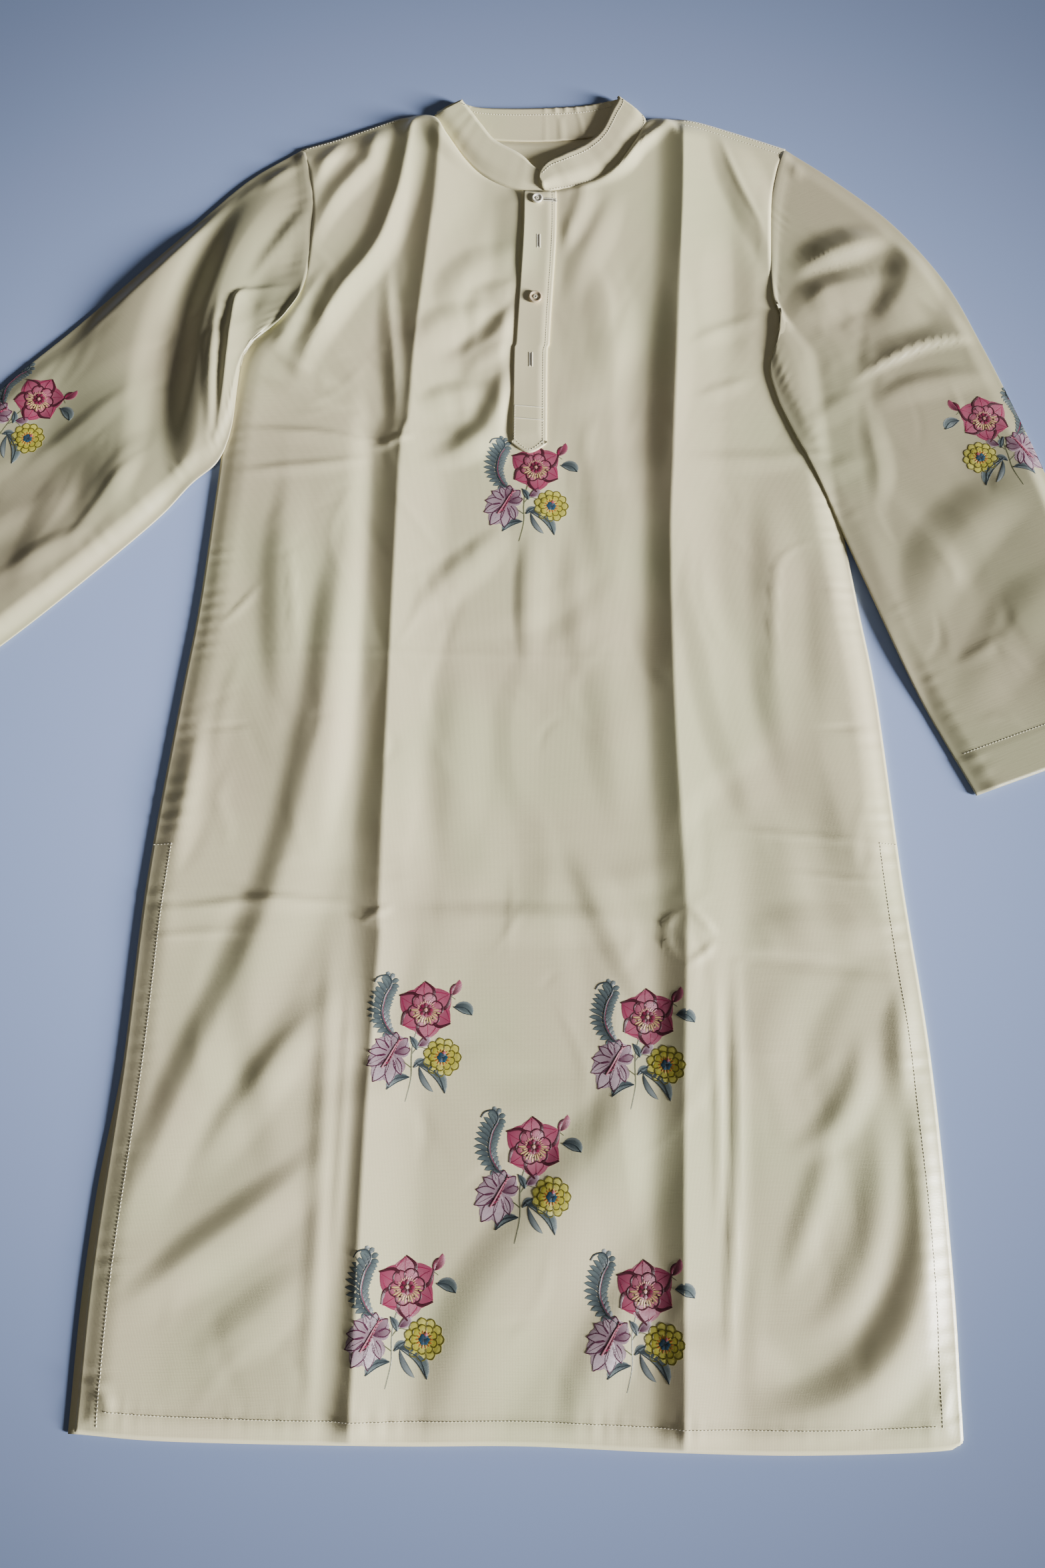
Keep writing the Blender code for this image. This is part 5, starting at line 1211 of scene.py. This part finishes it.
hole_places = ((float(placket_edge(0.498)) + 0.0145, 0.498, 90.0),
               (float(placket_edge(0.379)) + 0.0155, 0.379, 90.0),
               (float(placket_edge(0.541)) + 0.0245, 0.541, 0.0))
purl_paths = []
slit_paths = []
for x, y, angle in hole_places:
    lean = math.radians(angle)
    ahead = np.array((math.cos(lean), math.sin(lean)))
    aside = np.array((-ahead[1], ahead[0]))
    for side in (-1.0, 1.0):
        run = np.linspace(-0.0068, 0.0068, 6)[:, None]
        purl_paths.append(np.array((x, y)) + run * ahead + side * 0.00115 * aside)
    slit_paths.append(np.array((x, y)) + np.linspace(-0.0056, 0.0056, 6)[:, None] * ahead)
stitch("buttonhole_purl", placket_surface, purl_paths, pitch=PURL_PITCH, length=PURL_LENGTH,
       radius=0.28 * MM, turn=math.pi / 2)
# The slits are a row of near-black lumps: painted shadow in each buttonhole's cut.
shadow_thread = thread_finish("buttonhole_shadow", (0.05, 0.042, 0.03))
stitch("buttonhole_slits", placket_surface, slit_paths, pitch=0.8 * MM, length=1.6 * MM,
       radius=0.42 * MM, thread=shadow_thread)

# The embroidery: eight flower sprays in satin stitch, shaded silk thread on the finished cloth, six
# down the front and one on each sleeve. Every petal, leaf and stem is a low dome of thread, drawn
# from plain curves, and its stitches run along it.
PINK = (0.330, 0.050, 0.110)
ROSE = (0.460, 0.130, 0.195)
MAROON = (0.070, 0.004, 0.016)
CREAM = (0.700, 0.480, 0.210)
YELLOW = (0.520, 0.460, 0.030)
LEMON = (0.640, 0.590, 0.110)
OLIVE = (0.170, 0.150, 0.012)
ORANGE = (0.620, 0.170, 0.030)
TEAL = (0.004, 0.080, 0.170)
LILAC = (0.290, 0.180, 0.225)
PALE_LILAC = (0.470, 0.350, 0.400)
PLUM = (0.085, 0.012, 0.045)
MAGENTA = (0.330, 0.010, 0.075)
SLATE = (0.150, 0.195, 0.200)
PALE_SLATE = (0.300, 0.345, 0.345)
DARK_SLATE = (0.040, 0.056, 0.066)
MOSS = (0.150, 0.160, 0.080)
THREAD_LIFT = 0.16 * MM
THREAD_DOME = 0.15 * MM
THREAD_DEPTH = 0.15 * MM
# in millimetres, as the drawing below is
THREAD_PITCH = 0.5

# name, centre x, centre y, turn in degrees, 1 as drawn or -1 mirrored, cloth
SPRAYS = (
    ("spray_chest", 0.0020, 0.2535, 0.0, 1, front_surface),
    ("spray_hip_left", -0.0835, -0.2025, 0.0, 1, front_surface),
    ("spray_hip_right", 0.0865, -0.2080, 0.0, 1, front_surface),
    ("spray_skirt", -0.0010, -0.3030, 0.0, 1, front_surface),
    ("spray_hem_left", -0.0935, -0.4010, 0.0, 1, front_surface),
    ("spray_hem_right", 0.0800, -0.4040, 0.0, 1, front_surface),
    ("spray_right_sleeve", -0.4400, 0.3270, -30.0, 1, right_sleeve_surface),
    ("spray_left_sleeve", 0.4130, 0.3025, 10.0, -1, left_sleeve_surface),
)

# x, y, height, colour, place across and along the thread
spray_rows = []
spray_faces = []


def satin(rib, half, colours, level=0.0, dome=1.0, columns=(-1.0, -0.5, 0.0, 0.5, 1.0)):
    """Stitch one domed shape along a rib, in millimetres: colours at its root, tip and edge.

    Each row is a ring, over the dome and back through the cloth, and both ends are closed.
    """
    rib = np.asarray(rib, dtype=float)
    heading = np.gradient(rib, axis=0)
    heading /= np.linalg.norm(heading, axis=1, keepdims=True)
    aside = np.column_stack((-heading[:, 1], heading[:, 0]))
    start = len(spray_rows)
    along = np.concatenate(([0.0], np.cumsum(np.linalg.norm(np.diff(rib, axis=0), axis=1))))
    root, tip, edge = (np.array(colour) for colour in colours)
    for row, (point, side, reach) in enumerate(zip(rib, aside, half)):
        share = along[row] / along[-1]
        for across in columns:
            close = 1.0 - across ** 2
            height = THREAD_LIFT * (0.35 + level) + THREAD_DOME * dome * close * min(1.0, reach)
            inner = root + (tip - root) * smoothstep(share)
            shaded = inner + (edge - inner) * smoothstep((abs(across) - 0.55) / 0.45)
            spray_rows.append((*(point + across * reach * side), height, *shaded, across * reach, along[row]))
        for across in (columns[-1], columns[0]):
            spray_rows.append((*(point + across * reach * side), -THREAD_DEPTH, *edge, across * reach,
                               along[row]))
    ring = len(columns) + 2
    for row in range(len(rib) - 1):
        for k in range(ring):
            a = start + row * ring + k
            b = start + row * ring + (k + 1) % ring
            spray_faces.append((a, a + ring, b + ring, b))
    spray_faces.append(tuple(range(start, start + ring)))
    spray_faces.append(tuple(range(len(spray_rows) - ring, len(spray_rows)))[::-1])


def blade(root, tip, width, colours, bow=0.0, belly=0.55, blunt=0.7, level=0.0, rows=9):
    """Stitch a petal or leaf from its root to its tip, widest at its belly."""
    share = np.linspace(0.0, 1.0, rows)
    root, tip = np.array(root, dtype=float), np.array(tip, dtype=float)
    chord = tip - root
    rib = root + share[:, None] * chord + bow * (4 * share * (1 - share))[:, None] * np.array(
        (-chord[1], chord[0]))
    power = math.log(0.5) / math.log(belly)
    half = 0.5 * width * np.maximum(np.sin(math.pi * share ** power), 0.0) ** blunt + 0.08
    satin(rib, half, colours, level)


def line(path, width, colour, level=0.6, tail=0.6):
    """Stitch a stem, vein or outline of nearly even width."""
    rib = through(path, max(5, int(len(path) * 3)))
    half = 0.5 * width * np.linspace(1.0, tail, len(rib))
    satin(rib, half, (colour, colour, colour), level, 0.7, (-1.0, 0.0, 1.0))


def around(centre, reach, degrees):
    return (centre[0] + reach * math.cos(math.radians(degrees)),
            centre[1] + reach * math.sin(math.radians(degrees)))


def petal(near, far, aim, width, colours, **more):
    """Stitch a blade that points away from the flower's heart."""
    blade(around(heart, near, aim), around(heart, far, aim), width, colours, **more)


def outline(aim, steps, *looks):
    """Stitch a line near the flower's heart through steps of a reach and a turn from its aim."""
    line([around(heart, reach, aim + turn) for reach, turn in steps], *looks)


# The stems
line(((3, 8), (0, -2), (-1, -14), (-1, -28), (-5, -45)), 1.1, MOSS, 0.1)
line(((-1, -10), (4, -5), (10, -6)), 0.9, MOSS, 0.1)
line(((-1, -20), (-8, -15), (-14, -12)), 0.9, MOSS, 0.1)
line(((20, 30), (28, 33), (32, 31)), 0.8, MOSS, 0.1)
line(((-2, -6), (-8, 0), (-13, 4)), 0.9, MOSS, 0.1)
# The curled feather leaf, leaflet by leaflet along its spine, long and toothed on its outer side
spine = through(((-10, 0), (-19, 8), (-24, 20), (-22, 33), (-17, 43), (-20, 49), (-27, 48), (-30, 44)), 44)
for row in range(3, 36, 2):
    ahead = spine[row + 1] - spine[row - 1]
    ahead /= np.linalg.norm(ahead)
    aside = np.array((-ahead[1], ahead[0]))
    size = 13.0 * math.sin(math.pi * (row - 1) / 36.0) ** 0.55
    for hand, share in ((1.0, 1.0), (-1.0, 0.68)):
        reach = spine[row] + share * size * (0.86 * hand * aside + 0.50 * ahead)
        blade(spine[row], reach, 3.8, (DARK_SLATE, SLATE, DARK_SLATE), bow=-0.14 * hand, rows=6,
              level=0.2 * (row % 4 == 1))
line(spine, 1.3, DARK_SLATE, 1.4, 0.7)
line(spine[4:30] + np.array((0.9, 0.0)), 0.6, MAGENTA, 1.0, 0.5)
# Leaves
for root, tip, width, bow in (((31, 25), (45, 19), 9.5, 0.20), ((3, -17), (25, -39), 8.5, 0.20),
                              ((-2, -27), (-19, -36), 7.0, -0.22), ((-2, 3), (3, -7), 5.0, 0.10),
                              ((1, -20), (9, -14), 5.0, 0.12)):
    blade(root, tip, width, (DARK_SLATE, SLATE, PALE_SLATE), bow=bow)
    edge = np.array(root) + np.array((0.55, 0.55)) * (np.array(tip) - np.array(root))
    normal = np.array((root[1] - tip[1], tip[0] - root[0])) / math.dist(root, tip)
    line((root, edge + (0.9 * bow * math.dist(root, tip)) * normal, tip), 0.9, DARK_SLATE, 1.6, 0.5)
    rim = edge + (bow * math.dist(root, tip) - 0.46 * width * np.sign(bow)) * normal
    line((root, rim, tip), 0.7, DARK_SLATE, 1.2, 0.6)
blade((5, -19), (16, -38), 4.5, (DARK_SLATE, PALE_SLATE, DARK_SLATE), bow=-0.10, level=0.4)
blade((4, -4), (12, 4), 6.5, (PLUM, LILAC, PALE_LILAC), bow=-0.14, level=0.3)
line(((4, -4), (7, 1), (12, 4)), 0.8, PLUM, 1.5)
# The bud
blade((29, 34), (35, 46), 5.5, (MAROON, PINK, ROSE), bow=-0.12)
blade((29, 33), (32.5, 43), 2.6, (MAGENTA, MAROON, MAROON), bow=0.16, level=0.6)
line(((25, 27), (28, 31), (30, 36)), 0.8, MOSS, 0.1)
# The pink flower: six pointed petals, each with a dark hem down one side, a ring of short cream and
# rose stitches, and a maroon heart
heart = (9.5, 23.0)
for k in range(6):
    aim = 98 + 60 * k
    tip = around(heart, 21.0 + 1.5 * (k % 2), aim - 6)
    blade(around(heart, 3, aim), tip, 20.0, (ROSE, PINK, PINK), belly=0.52, blunt=0.90,
          level=0.12 * (k % 2), rows=13)
    outline(aim, ((8, -33), (14, -34), (17.5, -24), (21.5 + 1.5 * (k % 2), -6)), 3.2, MAROON, 1.3, 0.35)
    outline(aim, ((11, 31), (15.5, 22), (21, -4)), 0.8, MAGENTA, 1.1, 0.6)
    outline(aim, ((9, 0), (15, -2), (20, -4)), 0.6, MAGENTA, 1.3, 0.5)
for k in range(6):
    aim = 68 + 60 * k
    petal(3, 12.5, aim, 10.5, (ROSE, ROSE, PINK), belly=0.55, blunt=0.5, level=1.0)
    outline(aim, ((6, 40), (10, 34), (12.8, 12), (12.8, -12), (10, -34)), 0.9, MAROON, 2.0, 0.8)
for k in range(26):
    aim = 180 + 360 * k / 26
    low_side = math.sin(math.radians(aim)) < 0.1
    petal(5.2, (11.5 if low_side else 8.2) - 1.2 * (k % 2), aim, 1.2,
          (CREAM, CREAM, LEMON) if low_side else (CREAM, ROSE, ROSE), level=2.2, rows=4)
for k in range(8):
    petal(1.6, 5.4, 45 * k, 2.8, (MAROON, MAGENTA, MAROON), level=3.0, rows=4)
for k in range(5):
    place = around(heart, 8.6, 200 + 35 * k)
    blade(place, (place[0] + 0.8, place[1] + 1.0), 1.2, (MAROON, MAROON, MAROON), level=3.4, rows=4)
blade(around(heart, 1.6, 270), around(heart, 1.6, 90), 2.6, (ROSE, CREAM, ROSE), level=4.2, rows=5)
# The yellow flower: two rounds of scallops outlined in olive, an orange ring and a blue-green eye
heart = (22.5, -12.5)
# share of the petal's reach, share of its half width
SCALLOP = ((0.66, -0.95), (0.90, -0.85), (1.01, -0.2), (1.01, 0.2), (0.90, 0.85), (0.66, 0.95))
for count, reach, root, width, colours, level in (
        (11, 14.2, 5.5, 8.8, (YELLOW, LEMON, YELLOW), 0.0), (9, 9.8, 3.2, 7.0, (LEMON, YELLOW, YELLOW), 1.2)):
    for k in range(count):
        aim = 360 * (k + 0.5 * (count == 9)) / count
        half = 180 / count
        petal(root, reach, aim, width, colours, belly=0.60, blunt=0.45, level=level + 0.1 * (k % 2), rows=7)
        outline(aim, [(part * reach, turn * half) for part, turn in SCALLOP], 0.75, OLIVE, level + 1.1, 1.0)
for k in range(14):
    petal(3.2, 6.4, 360 * k / 14, 1.2, (ORANGE, ORANGE, YELLOW), level=2.4, rows=4)
for k in range(6):
    petal(0.2, 4.2, 60 * k, 3.4, (DARK_SLATE, TEAL, TEAL), level=3.0, rows=4)
blade(around(heart, 2.4, 60), around(heart, 5.0, 75), 2.6, (PINK, ROSE, ORANGE), level=4.0, rows=5)
# The lilac flower: a half-open fan of pointed petals outlined in plum, with crimson filaments
heart = (-15.0, -9.0)
for k, (aim, reach, width) in enumerate(((112, 15, 12), (142, 16, 12), (176, 18, 13), (206, 21, 14),
                                         (236, 25, 14), (264, 23, 13), (292, 17, 12))):
    blade(heart, around(heart, reach, aim), width, (LILAC, PALE_LILAC, LILAC), belly=0.58, blunt=0.62,
          level=0.14 * (k % 3), rows=10)
    for hand in (-1.0, 1.0):
        outline(aim, [(part * reach, hand * turn) for part, turn in (
            (0.30, 18), (0.62, 16), (0.86, 7), (1.03, 0))], 0.8, PLUM, 1.2, 0.8)
    outline(aim, ((0.35 * reach, 0), (0.9 * reach, 0)), 0.45, PLUM, 1.0, 0.6)
for aim, reach, width in ((10, 13, 10), (44, 15, 12), (80, 15, 12)):
    blade(heart, around(heart, reach, aim), width, (PLUM, LILAC, PALE_LILAC), belly=0.60, blunt=0.6,
          level=0.8, rows=8)
    for hand in (-1.0, 1.0):
        outline(aim, [(part * reach, hand * turn) for part, turn in (
            (0.35, 20), (0.68, 18), (0.90, 8), (1.03, 0))], 0.8, PLUM, 1.6, 0.8)
for k in range(9):
    start = np.array((-21.0 + 1.2 * k, -19.0 + 2.1 * k))
    finish = start + (7.5 - 0.4 * abs(k - 4)) * np.array((0.55 - 0.05 * k, 0.62))
    line((start, 0.5 * (start + finish) + (0.6, -0.4), finish), 0.75, MAGENTA if k % 2 else MAROON,
         2.4, 0.9)
    blade(finish, finish + np.array((1.0, 1.2)), 1.5, (MAROON, MAGENTA, MAROON), level=3.0, rows=4)
line(((-23, -20), (-18, -12), (-12, -2), (-8, 1)), 1.2, ROSE, 3.2, 0.7)


def silk_finish(name):
    """Lustrous shaded silk: colours from the stitching, a bump and a tint from each thread."""
    material, tree, shader = new_material(name, Roughness=0.40, Sheen_Weight=0.08)
    dye = added(tree, "ShaderNodeVertexColor")
    dye.layer_name = "dye"
    run = added(tree, "ShaderNodeUVMap")
    run.uv_map = "thread"
    strands = added(tree, "ShaderNodeTexWave", Scale=math.pi / (10.0 * THREAD_PITCH), Distortion=1.4,
                    Detail=1.0)
    strands.bands_direction = "X"
    shade = added(tree, "ShaderNodeMix", Factor=0.30)
    shade.data_type = "RGBA"
    shade.blend_type = "MULTIPLY"
    bump = added(tree, "ShaderNodeBump", Strength=0.6, Distance=0.18 * MM)
    wire(run, "UV", strands, "Vector")
    wire(dye, "Color", shade, "A")
    wire(strands, "Color", shade, "B")
    wire(shade, "Result", shader, "Base Color")
    wire(strands, "Fac", bump, "Height")
    wire(bump, "Normal", shader, "Normal")
    return material


embroidery_silk = silk_finish("embroidery_silk")
spray_rows = np.array(spray_rows)
flat_points = spray_rows[:, 0:2] * MM
for name, centre_x, centre_y, degrees, hand, cloth in SPRAYS:
    lean = math.radians(degrees)
    x = hand * flat_points[:, 0]
    y = flat_points[:, 1]
    laid = np.column_stack((centre_x + x * math.cos(lean) - y * math.sin(lean),
                            centre_y + x * math.sin(lean) + y * math.cos(lean)))
    on_cloth = draped(cloth, laid, 0.0)
    vertices = [(p.x, p.y, p.z + rise) for p, rise in zip(on_cloth, spray_rows[:, 2])]
    faces = [face[::hand] for face in spray_faces]
    mesh = bpy.data.meshes.new(name)
    mesh.from_pydata(vertices, [], faces)
    dye = mesh.color_attributes.new("dye", "FLOAT_COLOR", "POINT")
    dye.data.foreach_set("color", np.column_stack((spray_rows[:, 3:6], np.ones(len(vertices)))).ravel())
    thread = mesh.uv_layers.new(name="thread")
    loops = np.empty(len(mesh.loops), dtype=np.int32)
    mesh.loops.foreach_get("vertex_index", loops)
    thread.data.foreach_set("uv", spray_rows[loops, 6:8].ravel())
    mesh.shade_smooth()
    mesh.set_sharp_from_angle(angle=math.radians(50.0))
    mesh.materials.append(embroidery_silk)
    spray = put(name, mesh)
    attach(spray, "root")

# The studio: a blue-grey floor painted lighter in its middle and darker away from it, a painted pool of
# light, one broad low light from the right as in the photograph, a weak fill, and the camera a little down
# from straight overhead.
CAMERA_PLACE = (0.0535, -0.2974, 0.9253)
CAMERA_TILT = math.radians(13.083)
CAMERA_LENS = 27.03
PAINTED_POOL_MIDDLE = (0.0535, -0.015, 0.0)
FLOOR_REACH = 3.0
FLOOR_LEVEL = -0.0006
SKY_TINT = (1.0, 0.95, 0.86, 1.0)
SKY_STRENGTH = 0.075
# distance from the middle, painted colour: lighter near the middle and darker further out, a painted pool of
# light
FLOOR_PAINTED_LIGHT_POOL = ((0.15, (0.398, 0.512, 0.848)), (0.95, (0.113, 0.147, 0.244)))

floor_mesh = bpy.data.meshes.new("floor")
floor_mesh.from_pydata([(x * FLOOR_REACH, y * FLOOR_REACH, FLOOR_LEVEL)
                        for x, y in ((-1, -1), (1, -1), (1, 1), (-1, 1))], [], [(0, 1, 2, 3)])
floor = put("floor", floor_mesh)
floor_finish, floor_tree, floor_shader = new_material("floor_finish", Roughness=0.9, Specular_IOR_Level=0.1)
floor_place = added(floor_tree, "ShaderNodeTexCoord")
floor_reach = added(floor_tree, "ShaderNodeVectorMath")
floor_reach.operation = "DISTANCE"
floor_reach.inputs[1].default_value = PAINTED_POOL_MIDDLE
# Painted pool of light: the floor's colour is lighter near its middle and darker away from it.
floor_painted_pool = ramp(floor_tree, *FLOOR_PAINTED_LIGHT_POOL)
floor_painted_pool.color_ramp.interpolation = "EASE"
wire(floor_place, "Object", floor_reach, 0)
wire(floor_reach, "Value", floor_painted_pool, "Fac")
wire(floor_painted_pool, "Color", floor_shader, "Base Color")
floor_mesh.materials.append(floor_finish)

# name, strength, angle across, compass from the right, height above the floor
STUDIO_LIGHTS = (
    ("key_light", 14.6, 16.0, -20.0, 14.0),
    ("fill_light", 0.10, 60.0, 150.0, 65.0),
)
for name, strength, spread, compass, rise in STUDIO_LIGHTS:
    lamp = bpy.data.lights.new(name, "SUN")
    lamp.energy = strength
    lamp.angle = math.radians(spread)
    light = put(name, lamp)
    light.location = (0.0, 0.0, 2.0)
    light.rotation_euler = (0.0, math.radians(90.0 - rise), math.radians(compass))
world = bpy.data.worlds.new("studio")
world.use_nodes = True
tune(world.node_tree.nodes["Background"], {"Color": SKY_TINT, "Strength": SKY_STRENGTH})
bpy.context.scene.world = world

camera_data = bpy.data.cameras.new("photo_camera")
camera_data.lens = CAMERA_LENS
camera_data.sensor_width = 36.0
camera_data.clip_start = 0.01
camera = put("photo_camera", camera_data)
camera.location = CAMERA_PLACE
camera.rotation_euler = (CAMERA_TILT, 0.0, 0.0)
bpy.context.scene.camera = camera
